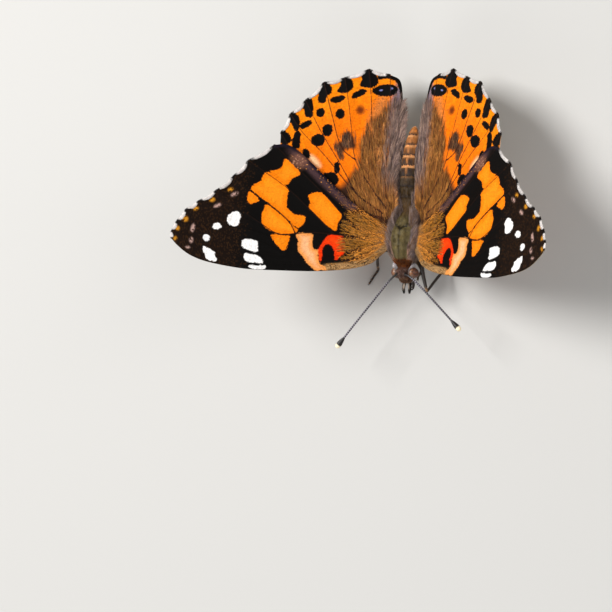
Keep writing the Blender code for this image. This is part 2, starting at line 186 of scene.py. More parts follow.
def spline(points: Sequence[Sequence[float]], step: float, closed: bool = False) -> Array:
    """Draw a smooth curve through points, with points at even steps.

    Args:
        points: What the curve passes through.
        step: Distance between the curve's points.
        closed: Whether it returns to its start.

    Returns:
        Points on the curve.
    """
    knots = np.array(points, dtype=float)
    if closed:
        knots = np.vstack([knots[-1], knots, knots[0], knots[1]])
    else:
        knots = np.vstack([2 * knots[0] - knots[1], knots, 2 * knots[-1] - knots[-2]])
    t = np.linspace(0.0, 1.0, CURVE_PIECES, endpoint=False)[:, None]
    parts = []
    for p0, p1, p2, p3 in zip(knots, knots[1:], knots[2:], knots[3:]):
        bend = (2 * p0 - 5 * p1 + 4 * p2 - p3) * t * t
        turn = (3 * p1 - p0 - 3 * p2 + p3) * t ** 3
        parts.append(0.5 * (2 * p1 + (p2 - p0) * t + bend + turn))
    parts.append(knots[-2][None])
    return even_steps(np.vstack(parts), step)


def even_steps(path: Array, step: float) -> Array:
    """Place points at even steps along a path, with both ends.

    Args:
        path: Points of the path.
        step: Wanted distance.

    Returns:
        The new points.
    """
    lengths = path_lengths(path)
    wanted = np.linspace(0.0, lengths[-1], max(2, int(round(lengths[-1] / step)) + 1))
    return np.stack([np.interp(wanted, lengths, path[:, i]) for i in range(path.shape[1])], axis=1)


def line_distance(spots: Array, path: Array, closed: bool = False) -> tuple[Array, Array]:
    """Measure how far spots are from a path.

    Args:
        spots: Places to measure.
        path: Points of the path.
        closed: Whether the path returns to its start.

    Returns:
        Distances, and the place of the nearest point in steps along the path.
    """
    starts = path if closed else path[:-1]
    ends = np.roll(path, -1, axis=0) if closed else path[1:]
    best = np.full(len(spots), np.inf)
    place = np.zeros(len(spots))
    for index, (start, end) in enumerate(zip(starts, ends)):
        span = end - start
        share = np.clip(((spots - start) @ span) / max(span @ span, 1e-12), 0.0, 1.0)
        gap = np.linalg.norm(spots - start - share[:, None] * span, axis=1)
        closer = gap < best
        best = np.where(closer, gap, best)
        place = np.where(closer, index + share, place)
    return best, place


def inside(spots: Array, outline: Array) -> Array:
    """Tell which spots are inside a closed outline.

    Args:
        spots: Places to test.
        outline: Points of the outline.

    Returns:
        True for each spot inside.
    """
    found = np.zeros(len(spots), dtype=bool)
    for (x0, y0), (x1, y1) in zip(outline, np.roll(outline, -1, axis=0)):
        if y0 == y1:
            continue
        crosses = (y0 > spots[:, 1]) != (y1 > spots[:, 1])
        found ^= crosses & (spots[:, 0] < x0 + (spots[:, 1] - y0) * (x1 - x0) / (y1 - y0))
    return found


def quads(low: Array, high: Array) -> Array:
    """Fill the cells between rows of points with two triangles each.

    Args:
        low: Numbers of the points on one side of each cell, a row for each ring.
        high: Numbers of the points on its other side.

    Returns:
        The triangles.
    """
    first = np.stack([low[:-1], low[1:], high[1:]], axis=-1).reshape(-1, 3)
    second = np.stack([low[:-1], high[1:], high[:-1]], axis=-1).reshape(-1, 3)
    return np.vstack([first, second])


def body_matrix() -> Matrix:
    """Return the matrix from body millimetres to metres in the row frame."""
    place = Matrix.Translation(Vector((0.0, FRAME_SHIFT, STANCE_HEIGHT)) * MM)
    return place @ Matrix.Rotation(-BODY_PITCH, 4, "X") @ Matrix.Scale(MM, 4)


def stance_matrix() -> Matrix:
    """Return the matrix from stance millimetres, on the floor, to metres in the row frame."""
    return Matrix.Translation(Vector((0.0, FRAME_SHIFT, 0.0)) * MM) @ Matrix.Scale(MM, 4)


@dataclass
class Net:
    """Points, triangles and painted data of one mesh, in millimetres."""

    points: Array
    triangles: Array
    bake: Array
    colours: dict[str, Array] = field(default_factory=dict)
    values: dict[str, Array] = field(default_factory=dict)
    vectors: dict[str, Array] = field(default_factory=dict)

    def build(self, name: str, material: Material, slot: str, nodes: tuple[str, ...] = (),
              matrix: Matrix | None = None) -> bpy.types.Object:
        """Make the object and let it ride on the body.

        Args:
            name: Name of the piece.
            material: Its finish.
            slot: Name of the piece's material slot; not used.
            nodes: The solids that it stands for.
            matrix: From millimetres to the row frame; the body's own if left out.

        Returns:
            The object.
        """
        place = np.array(matrix or body_matrix())
        world = self.points @ place[:3, :3].T + place[:3, 3]
        mesh = bpy.data.meshes.new(name)
        count = len(self.triangles)
        mesh.vertices.add(len(world))
        mesh.vertices.foreach_set("co", world.astype(np.float32).ravel())
        mesh.loops.add(count * 3)
        corners = self.triangles.astype(np.int32).ravel()
        mesh.loops.foreach_set("vertex_index", corners)
        mesh.polygons.add(count)
        mesh.polygons.foreach_set("loop_start", np.arange(0, count * 3, 3, dtype=np.int32))
        mesh.polygons.foreach_set("use_smooth", np.ones(count, dtype=bool))
        mesh.update(calc_edges=True)
        layer = mesh.uv_layers.new(name=BAKE_MAP)
        layer.data.foreach_set("uv", self.bake[corners].astype(np.float32).ravel())
        for key, rows in self.colours.items():
            paint = mesh.attributes.new(key, "FLOAT_COLOR", "POINT")
            full = np.hstack([rows, np.ones((len(rows), 1))]).astype(np.float32)
            paint.data.foreach_set("color", full.ravel())
        for key, row in self.values.items():
            paint = mesh.attributes.new(key, "FLOAT", "POINT")
            paint.data.foreach_set("value", row.astype(np.float32))
        for key, rows in self.vectors.items():
            paint = mesh.attributes.new(key, "FLOAT_VECTOR", "POINT")
            paint.data.foreach_set("vector", rows.astype(np.float32).ravel())
        mesh.validate()
        piece = bpy.data.objects.new(name, mesh)
        bpy.context.scene.collection.objects.link(piece)
        mesh.materials.append(material)
        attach(piece, "root")
        if nodes:
            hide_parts(*nodes)
        LOG.info("%s: %d points, %d triangles", name, len(world), count)
        return piece


def joined(nets: list[Net]) -> Net:
    """Join nets whose points carry the same kinds of colour.

    Args:
        nets: What is joined.

    Returns:
        One net.
    """
    offsets = np.cumsum([0] + [len(net.points) for net in nets[:-1]])
    return Net(
        np.vstack([net.points for net in nets]),
        np.vstack([net.triangles + offset for net, offset in zip(nets, offsets)]),
        np.vstack([net.bake for net in nets]),
        {key: np.vstack([net.colours[key] for net in nets]) for key in nets[0].colours},
    )


def tube(path: Array, radii: Array, sides: int,
         patch: tuple[float, float, float, float]) -> tuple[Net, Array]:
    """Make a closed round tube along a path.

    Args:
        path: Middle points.
        radii: One radius a point.
        sides: Points in each ring.
        patch: Low corner and size of its place on the bake map.

    Returns:
        The net, and how far along the path each of its points is, in millimetres.
    """
    tangents = unit(np.gradient(path, axis=0))
    across = np.cross(tangents, [0.0, 0.0, 1.0])
    upright = np.linalg.norm(across, axis=1) < 0.05
    across[upright] = np.cross(tangents[upright], [1.0, 0.0, 0.0])
    across = unit(across)
    for index in range(1, len(across)):
        if across[index] @ across[index - 1] < 0:
            across[index] = -across[index]
    upward = np.cross(across, tangents)
    turn = np.linspace(0.0, 2 * np.pi, sides, endpoint=False)
    offsets = across[:, None] * np.cos(turn)[None, :, None] + upward[:, None] * np.sin(turn)[None, :, None]
    rings = path[:, None] + radii[:, None, None] * offsets
    count = len(path)
    points = np.vstack([rings.reshape(-1, 3), path[:1], path[-1:]])
    index = np.arange(count * sides).reshape(count, sides)
    after = np.roll(index, -1, axis=1)
    start = np.stack([index[0], after[0], np.full(sides, count * sides)], axis=-1)
    end = np.stack([after[-1], index[-1], np.full(sides, count * sides + 1)], axis=-1)
    lengths = path_lengths(path)
    along = np.concatenate([np.repeat(lengths, sides), lengths[:1], lengths[-1:]])
    around = np.concatenate([np.tile(turn / (2 * np.pi), count), [0.5, 0.5]])
    bake = np.stack([patch[0] + patch[2] * along / lengths[-1], patch[1] + patch[3] * around], axis=1)
    return Net(points, np.vstack([quads(index, after), start, end]), bake), along


@dataclass
class Tufts:
    """Roots and lie of many fine tapered hairs or scales.

    Real hairs are about 0.01 mm thick. These are drawn several times as thick, and far fewer, so
    that they show.
    """

    roots: Array
    lie: Array
    lift: Array
    length: Array
    width: float
    tint: Array
    place: Array
    droop: float = 0.35
    flat: float = 0.45
    blunt: float = 0.0

    def net(self) -> Net:
        """Make every hair a bent three-sided spike.

        Returns:
            The net, with the colour "tint", darker at the roots as painted shade deep in the coat.
        """
        lie = unit(self.lie)
        side = unit(np.cross(lie, self.lift), 1e-9)
        upward = np.cross(side, lie)
        parts = []
        shades = []
        # Painted shade: each hair is darker at its root, deep in the coat, and a little lighter at its tip
        for along, girth in ((0.0, 1.0), (0.4, 0.9), (0.75, 0.55 + 0.35 * self.blunt)):
            middle = self.roots + lie * (self.length * along)[:, None]
            middle = middle - upward * (self.droop * self.length * along * along)[:, None]
            for turn in (0.0, 2.1, 4.2):
                offset = side * math.cos(turn) + upward * (math.sin(turn) * self.flat)
                parts.append(middle + offset * (self.width * girth * 0.5))
                shades.append(0.62 + 0.38 * along)
        tip = self.roots + lie * self.length[:, None]
        parts.append(tip - upward * (self.droop * self.length)[:, None])
        shades.append(1.08)
        points = np.stack(parts, axis=1).reshape(-1, 3)
        faces = []
        for ring in (0, 3):
            for corner in range(3):
                after = (corner + 1) % 3
                faces.append((ring + corner, ring + after, ring + 3 + after))
                faces.append((ring + corner, ring + 3 + after, ring + 3 + corner))
        faces += [(6, 7, 9), (7, 8, 9), (8, 6, 9)]
        starts = np.arange(len(self.roots))[:, None, None] * len(parts)
        triangles = (starts + np.array(faces)[None]).reshape(-1, 3)
        tint = (self.tint[:, None, :] * np.array(shades)[None, :, None]).reshape(-1, 3)
        corners = [(across, high) for high in (0, 0.5, 0.8) for across in (0, 1, 0.5)] + [(0.5, 1)]
        chart = np.array(corners) * TUFT_PATCH
        bake = (self.place[:, None, :] * (1 - TUFT_PATCH) + chart[None]).reshape(-1, 2)
        return Net(points, triangles, bake, colours={"tint": tint})


def add_node(tree: NodeTree, kind: str, inputs: dict | None = None, **settings: object) -> Node:
    """Add one shader node with its settings and links.

    Args:
        tree: The material's node tree.
        kind: The node's type, without its first word.
        inputs: By input name or number a value, an output socket, or a node for its first output.
        settings: Properties of the node.

    Returns:
        The node.
    """
    node = tree.nodes.new("ShaderNode" + kind)
    for key, value in settings.items():
        setattr(node, key, value)
    for key, value in (inputs or {}).items():
        if isinstance(value, Node):
            value = value.outputs[0]
        if isinstance(value, bpy.types.NodeSocket):
            tree.links.new(value, node.inputs[key])
        else:
            node.inputs[key].default_value = value
    return node


def new_material(name: str, **shader: float) -> tuple[Material, NodeTree, Node]:
    """Make a material with a Principled shader.

    Args:
        name: Name of the finish.
        shader: Values of the shader's sockets, with _ for a space.

    Returns:
        The material, its tree and its shader.
    """
    material = bpy.data.materials.new(name)
    material.use_nodes = True
    tree = material.node_tree
    principled = tree.nodes["Principled BSDF"]
    for key, value in shader.items():
        principled.inputs[key.replace("_", " ")].default_value = value
    return material, tree, principled


@dataclass(frozen=True)
class Chitin:
    """What the butterfly's finishes share: chitin in the colour that each point carries."""

    roughness: float
    gloss: float

    def start(self, name: str) -> tuple[Material, NodeTree, Node]:
        """Make the material with this finish's roughness and gloss."""
        return new_material(name, Roughness=self.roughness, IOR=CHITIN_IOR, Specular_IOR_Level=self.gloss)

    def dye(self, tree: NodeTree, shader: Node, colour: bpy.types.NodeSocket, tone: Node) -> None:
        """Put a colour on the shader, darker and lighter by a tone."""
        final = add_node(tree, "VectorMath", {0: colour, "Scale": tone}, operation="SCALE")
        tree.links.new(final.outputs[0], shader.inputs["Base Color"])

    def emboss(self, tree: NodeTree, shader: Node, cells: Node, height: float, strength: float) -> None:
        """Raise each cell of a pattern in its middle.

        Args:
            tree: The material's node tree.
            shader: Its shader.
            cells: The pattern of cells.
            height: How far each is raised, in millimetres.
            strength: How strongly that turns the light.
        """
        bump = add_node(tree, "Bump", {"Height": cells.outputs["Distance"], "Strength": strength,
                                       "Distance": height * MM}, invert=True)
        tree.links.new(bump.outputs[0], shader.inputs["Normal"])


@dataclass(frozen=True)
class WingScales(Chitin):
    """Wing membrane under rows of flat chitin scales, which look velvety and break each mark's edge.

    Real scales are about 0.05 by 0.1 mm. They are drawn half as large again, so that they show.
    """

    roughness: float = 0.62
    gloss: float = 0.05
    relief: float = 0.02
    relief_strength: float = 0.35
    scale_width: float = 0.085
    scale_length: float = 0.15
    cloud_scale: float = 2.2
    ragged: float = 0.14
    uneven: float = 0.3
    mottle: float = 0.2
    edge_width: float = 0.04

    def build(self, name: str) -> Material:
        """Make the material; it paints the marks whose edges each point carries.

        Args:
            name: Name of the material.

        Returns:
            The material.
        """
        material, tree, shader = self.start(name)
        plan = add_node(tree, "Attribute", attribute_name="plan").outputs["Vector"]
        size = (1.0 / self.scale_length, 1.0 / self.scale_width, 1.0)
        rows = add_node(tree, "VectorMath", {0: plan, 1: size}, operation="MULTIPLY")
        cells = add_node(tree, "TexVoronoi", {"Vector": rows, "Scale": 1.0})
        split = add_node(tree, "SeparateColor", {0: cells.outputs["Color"]})
        cloud = add_node(tree, "TexNoise", {"Vector": plan, "Scale": self.cloud_scale, "Detail": 3.0})
        # Each mark's edge wanders with the clouds, and steps in and out with every scale
        centred = add_node(tree, "Math", {0: cloud, 1: 0.5}, operation="SUBTRACT")
        broad = add_node(tree, "Math", {0: centred, 1: self.uneven}, operation="MULTIPLY")
        each = add_node(tree, "Math", {0: split, 1: 0.5}, operation="SUBTRACT")
        fine = add_node(tree, "Math", {0: each, 1: self.ragged}, operation="MULTIPLY")
        jitter = add_node(tree, "Math", {0: broad, 1: fine}, operation="ADD")
        colour = add_node(tree, "Attribute", attribute_name="ground").outputs["Color"]
        for layer, share in ((Layer.FIRST, 1.0), (Layer.SECOND, 0.3)):
            edge = add_node(tree, "Attribute", attribute_name=layer.edge).outputs["Fac"]
            tint = add_node(tree, "Attribute", attribute_name=layer.tint)
            shift = add_node(tree, "Math", {0: jitter, 1: share}, operation="MULTIPLY")
            moved = add_node(tree, "Math", {0: edge, 1: shift}, operation="ADD")
            span = {1: -self.edge_width, 2: self.edge_width, 3: 1.0, 4: 0.0}
            mask = add_node(tree, "MapRange", {0: moved, **span})
            mixed = add_node(tree, "Mix", {0: mask, 6: colour, 7: tint}, data_type="RGBA")
            colour = mixed.outputs[2]
        # Loose scales of another colour lie over the rest
        dust = add_node(tree, "Attribute", attribute_name="dust").outputs["Fac"]
        dust_tint = add_node(tree, "Attribute", attribute_name="dust_tint")
        loose = add_node(tree, "Math", {0: split.outputs[1], 1: dust}, operation="LESS_THAN")
        dusted = add_node(tree, "Mix", {0: loose, 6: colour, 7: dust_tint}, data_type="RGBA")
        darkest, lightest = 1.0 - self.mottle, 1.0 + self.mottle * 0.6
        shade = add_node(tree, "MapRange", {0: split.outputs[2], 1: 0.0, 2: 1.0, 3: darkest, 4: lightest})
        haze = add_node(tree, "MapRange", {0: cloud, 1: 0.35, 2: 0.65, 3: 0.88, 4: 1.07})
        tone = add_node(tree, "Math", {0: shade, 1: haze}, operation="MULTIPLY")
        self.dye(tree, shader, dusted.outputs[2], tone)
        self.emboss(tree, shader, cells, self.relief, self.relief_strength)
        return material


@dataclass(frozen=True)
class TintedHair(Chitin):
    """Fine chitin hair: matte, with a faint gloss along each hair, in paler and darker clumps."""

    roughness: float = 0.55
    gloss: float = 0.12
    clumps_per_metre: float = 900.0

    def build(self, name: str) -> Material:
        """Make the material.

        Args:
            name: Name of the material.

        Returns:
            The material.
        """
        material, tree, shader = self.start(name)
        tint = add_node(tree, "Attribute", attribute_name="tint").outputs["Color"]
        place = add_node(tree, "TexCoord").outputs["Object"]
        clumps = add_node(tree, "TexNoise", {"Vector": place, "Scale": self.clumps_per_metre, "Detail": 2.0})
        tone = add_node(tree, "MapRange", {0: clumps, 1: 0.3, 2: 0.7, 3: 0.75, 4: 1.2})
        self.dye(tree, shader, tint, tone)
        return material


@dataclass(frozen=True)
class Cuticle(Chitin):
    """Hard insect cuticle under small flat scales, or the facets of an eye: satin to glossy.

    Real facets are about 0.02 mm wide. They are drawn coarser, so that they show.
    """

    roughness: float = 0.45
    gloss: float = 0.4
    relief: float = 0.008
    relief_strength: float = 0.4
    cell: float = 0.07

    def build(self, name: str) -> Material:
        """Make the material.

        Args:
            name: Name of the material.

        Returns:
            The material.
        """
        material, tree, shader = self.start(name)
        tint = add_node(tree, "Attribute", attribute_name="tint").outputs["Color"]
        place = add_node(tree, "TexCoord").outputs["Object"]
        cells = add_node(tree, "TexVoronoi", {"Vector": place, "Scale": 1.0 / (self.cell * MM)})
        split = add_node(tree, "SeparateColor", {0: cells.outputs["Color"]})
        tone = add_node(tree, "MapRange", {0: split, 1: 0.0, 2: 1.0, 3: 0.78, 4: 1.18})
        self.dye(tree, shader, tint, tone)
        self.emboss(tree, shader, cells, self.relief, self.relief_strength)
        return material


@dataclass(frozen=True)
class Mark:
    """One mark of a wing: a rounded outline, or an oval, with its colour."""

    layer: Layer
    colour: str
    outline: Points
    soft: float = 0.0
    spread: float = 0.0
    # A paler colour painted into the middle of the mark, as a painted highlight
    core: str = ""
    wobble: float = 0.0

    def tint(self, gap: Array) -> Array:
        """Colour at distances from the mark's edge, paler or brighter inside where a highlight is painted as
        its core.
        """
        rows = dyed(self.colour, len(gap))
        return painted(rows, (self.core, smoothstep(0.1, 0.95, -gap))) if self.core else rows

    def distance(self, spots: Array) -> Array:
        """Measure the distance to the mark's edge, negative inside.

        Args:
            spots: Wing points.

        Returns:
            One distance a spot.
        """
        path = spline(self.outline, MARK_STEP, closed=True)
        low = path.min(axis=0) - MARK_REACH - self.soft
        high = path.max(axis=0) + MARK_REACH + self.soft
        near = np.all((spots > low) & (spots < high), axis=1)
        result = np.full(len(spots), FAR)
        gap, _ = line_distance(spots[near], path, closed=True)
        result[near] = np.where(inside(spots[near], path), -gap, gap) - self.spread
        if self.wobble:
            u, v = spots[:, 0], spots[:, 1]
            crest = self.wobble * np.sin(2.3 * u + 1.4 * np.sin(1.9 * v))
            result += crest * np.cos(2.7 * v + 1.1 * np.sin(1.3 * u))
        return result


def lay(paint: Paint, layer: Layer, gap: Array, tint: Array) -> None:
    """Put a mark into its layer wherever its edge is nearer than what is there.

    Args:
        paint: Colours and distances by name, changed in place.
        layer: The mark's layer.
        gap: Distances to its edge, negative inside.
        tint: Its colours.
    """
    closer = gap < paint[layer.edge]
    paint[layer.edge] = np.where(closer, gap, paint[layer.edge])
    paint[layer.tint][closer] = tint[closer]


def oval(centre: Pair, width: float, height: float, turn: float = 0.0) -> Points:
    """Return eight points of an oval.

    Args:
        centre: Its middle.
        width: Half its width.
        height: Half its height.
        turn: Degrees that it is turned by.

    Returns:
        The outline.
    """
    c, s = math.cos(math.radians(turn)), math.sin(math.radians(turn))
    points = []
    for step in range(8):
        angle = math.pi * step / 4
        x, y = width * math.cos(angle), height * math.sin(angle)
        points.append((centre[0] + x * c - y * s, centre[1] + x * s + y * c))
    return points


@dataclass
class Wing:
    """One kind of wing: its outline, veins, marks and lie."""

    kind: str
    dihedral: float
    height: Callable[[Array, Array], Array]
    skin_offset: float
    costa: Points
    crests: Points
    rear: Points
    veins: list[Points]
    marks: list[Mark]
    under_marks: list[Mark]
    root: Pair
    notch: float = 0.42
    spacing: float = 0.18
    thickness: float = 0.13
    vein_relief: float = 0.09
    vein_width: float = 0.13
    pleat: float = 0.12
    pleat_width: float = 0.9
    pale_veins: int = 0
    vein_end: float = 99.0

    def middle(self) -> Array:
        """Return a plan point well inside the wing."""
        return np.mean(self.costa + self.rear, axis=0)

    def upward(self, side: Side) -> Array:
        """Return the direction square to the wing."""
        return np.array([-side.value * math.sin(self.dihedral), 0.0, math.cos(self.dihedral)])

    def margin(self) -> tuple[Array, Array]:
        """Draw the scalloped outer margin.

        Returns:
            Its points, and how deep in a notch each lies, from 0 to 1.
        """
        middle = self.middle()
        parts, depths = [], []
        for start, end in zip(np.array(self.crests), np.array(self.crests)[1:]):
            chord = end - start
            inward = np.array([-chord[1], chord[0]]) / np.linalg.norm(chord)
            inward *= np.sign(inward @ (middle - start))
            depth = min(self.notch, np.linalg.norm(chord) * 0.16)
            count = max(3, int(np.linalg.norm(chord) / self.spacing))
            t = np.linspace(0.0, 1.0, count, endpoint=False)
            sag = np.sin(np.pi * t) ** 1.3
            parts.append(start + chord * t[:, None] + inward * (depth * sag)[:, None])
            depths.append(sag)
        parts.append(np.array(self.crests)[-1:])
        depths.append(np.zeros(1))
        return np.vstack(parts), np.concatenate(depths)

    def outline(self) -> Array:
        """Draw the closed outline: front edge, outer margin and rear edge.

        Returns:
            Its points.
        """
        costa = spline(self.costa, self.spacing)
        rear = spline(self.rear, self.spacing)
        return np.vstack([costa[:-1], self.margin()[0][:-1], rear[:-1]])

    def plan(self) -> tuple[Array, Array]:
        """Cover the wing with a fine flat net that follows its edge and veins.

        Returns:
            Plan points and triangles.
        """
        edge = self.outline()
        lines = [spline(vein, self.spacing) for vein in self.veins]
        # Rows of the net lie closer than its columns, so that its triangles are even
        cell = np.array([1.0, 0.87])
        low, high = edge.min(axis=0), edge.max(axis=0)
        columns, rows = ((high - low) / (self.spacing * cell)).astype(int) + 2
        grid = np.stack(np.meshgrid(np.arange(columns), np.arange(rows)), axis=-1)
        grid = grid.reshape(-1, 2).astype(float)
        grid[:, 0] += 0.5 * (grid[:, 1] % 2)
        grid = low + grid * self.spacing * cell
        grid = grid[inside(grid, edge)]
        vein_points = np.vstack(lines)
        vein_points = vein_points[inside(vein_points, edge)]
        gap, _ = line_distance(vein_points, edge, closed=True)
        clear, _ = line_distance(grid, edge, closed=True)
        for line in lines:
            clear = np.minimum(clear, line_distance(grid, line)[0])
        half = 0.5 * self.spacing
        points = np.vstack([edge, vein_points[gap > half], grid[clear > half]])
        border = [(i, (i + 1) % len(edge)) for i in range(len(edge))]
        result = geometry.delaunay_2d_cdt([Vector(point) for point in points], border, [], 1, 0.01)
        corners = np.array([tuple(corner) for corner in result[0]])
        triangles = np.array([face for face in result[2] if len(face) == 3])
        used = np.unique(triangles)
        order = np.full(len(corners), -1)
        order[used] = np.arange(len(used))
        return corners[used], order[triangles]

    def surface(self, spots: Array, side: Side) -> Array:
        """Place plan points on the wing's skin in the body frame.

        Args:
            spots: Plan points.
            side: Side of the body.

        Returns:
            Body points.
        """
        x = spots[:, 0] * math.cos(self.dihedral)
        z = self.height(x, spots[:, 1]) + self.skin_offset
        return np.stack([side.value * x, spots[:, 1], z], axis=1)

    def vein_gap(self, spots: Array, first: int = 0) -> tuple[Array, Array]:
        """Measure how far spots are from the nearest vein.

        Args:
            spots: Plan points.
            first: Number of the first vein that counts.

        Returns:
            Distances, and the nearest vein's strength from 1 at its root to 0.55 at its end.
        """
        best = np.full(len(spots), FAR)
        strength = np.ones(len(spots))
        for vein in self.veins[first:]:
            line = spline(vein, 0.5)
            gap, place = line_distance(spots, line)
            closer = gap < best
            best = np.where(closer, gap, best)
            strength = np.where(closer, 1.0 - 0.45 * place / len(line), strength)
        return best, strength

    def rows(self, spots: Array) -> Array:
        """Give coordinates that run out from the wing's root, for the rows of scales.

        Args:
            spots: Plan points.

        Returns:
            Distance from the root and place across, in millimetres.
        """
        away = spots - np.array(self.root)
        # An angle is turned to a width as it is 11 mm from the root, in the middle of the wing
        across = 11.0 * np.arctan2(away[:, 1], away[:, 0])
        return np.stack([np.linalg.norm(away, axis=1), across, np.zeros(len(spots))], axis=1)

    def paint(self, spots: Array, ground: Array, marks: list[Mark]) -> Paint:
        """Work out each layer's colour and edge at each point.

        Args:
            spots: Plan points.
            ground: Ground colours.
            marks: The marks of this face.

        Returns:
            Colours and values by name.
        """
        result = {"ground": ground.copy()}
        for layer in (Layer.FIRST, Layer.SECOND):
            result[layer.edge] = np.full(len(spots), FAR)
            result[layer.tint] = ground.copy()
        for mark in marks:
            gap = mark.distance(spots)
            if mark.layer is Layer.GROUND:
                share = 1.0 - smoothstep(-mark.soft, mark.soft, gap)
                result["ground"] = blend(result["ground"], linear(mark.colour), share)
            else:
                lay(result, mark.layer, gap, mark.tint(gap))
        return result


def forewing_height(x: Array, y: Array) -> Array:
    """Height of the forewing's middle surface, which is flat from front to rear."""
    return x * math.tan(FOREWING_TILT) - 0.45


def hindwing_height(x: Array, y: Array) -> Array:
    """Height of the hindwing's middle surface, which dips under the forewing.

    Args:
        x: Distance from the middle plane.
        y: Place along the body.

    Returns:
        Heights.
    """
    height = x * math.tan(HINDWING_TILT) + 0.5
    dip = np.maximum(0.0, height - forewing_height(x, y) + 1.15)
    edge = 1.0 + 0.696 * (x / math.cos(FOREWING_TILT) - 3.0)
    return height - dip * (1.0 - smoothstep(0.8, 7.0, y - edge))


# Colours of the wings' scales
BLACK = "070504"
ORANGE = "F67E04"
DEEP_ORANGE = "F27404"
RED = "E83402"
PALE = "EE964A"
WHITE = "F4F0EC"
PINK = "B89488"
GOLD = "C88420"
LILAC = "7478A8"
# Colours of the highlights painted into the middle of bright marks
PATCH_HIGHLIGHTS = {ORANGE: "FA8C14", PALE: "F8B480", RED: "F2460A"}

FIRST, SECOND, GROUND = Layer.FIRST, Layer.SECOND, Layer.GROUND


def dark(outline: Points) -> Mark:
    """Return a black mark whose scales spread a little over its outline."""
    return Mark(FIRST, BLACK, outline, spread=0.11)


def patch(colour: str, outline: Points) -> Mark:
    """Return a bright mark, paler towards its middle where a highlight is painted."""
    return Mark(FIRST, colour, outline, core=PATCH_HIGHLIGHTS[colour])


def smudge(colour: str, outline: Points, soft: float = 0.16) -> Mark:
    """Return a mark of loose scales with a soft edge."""
    return Mark(GROUND, colour, outline, soft=soft)


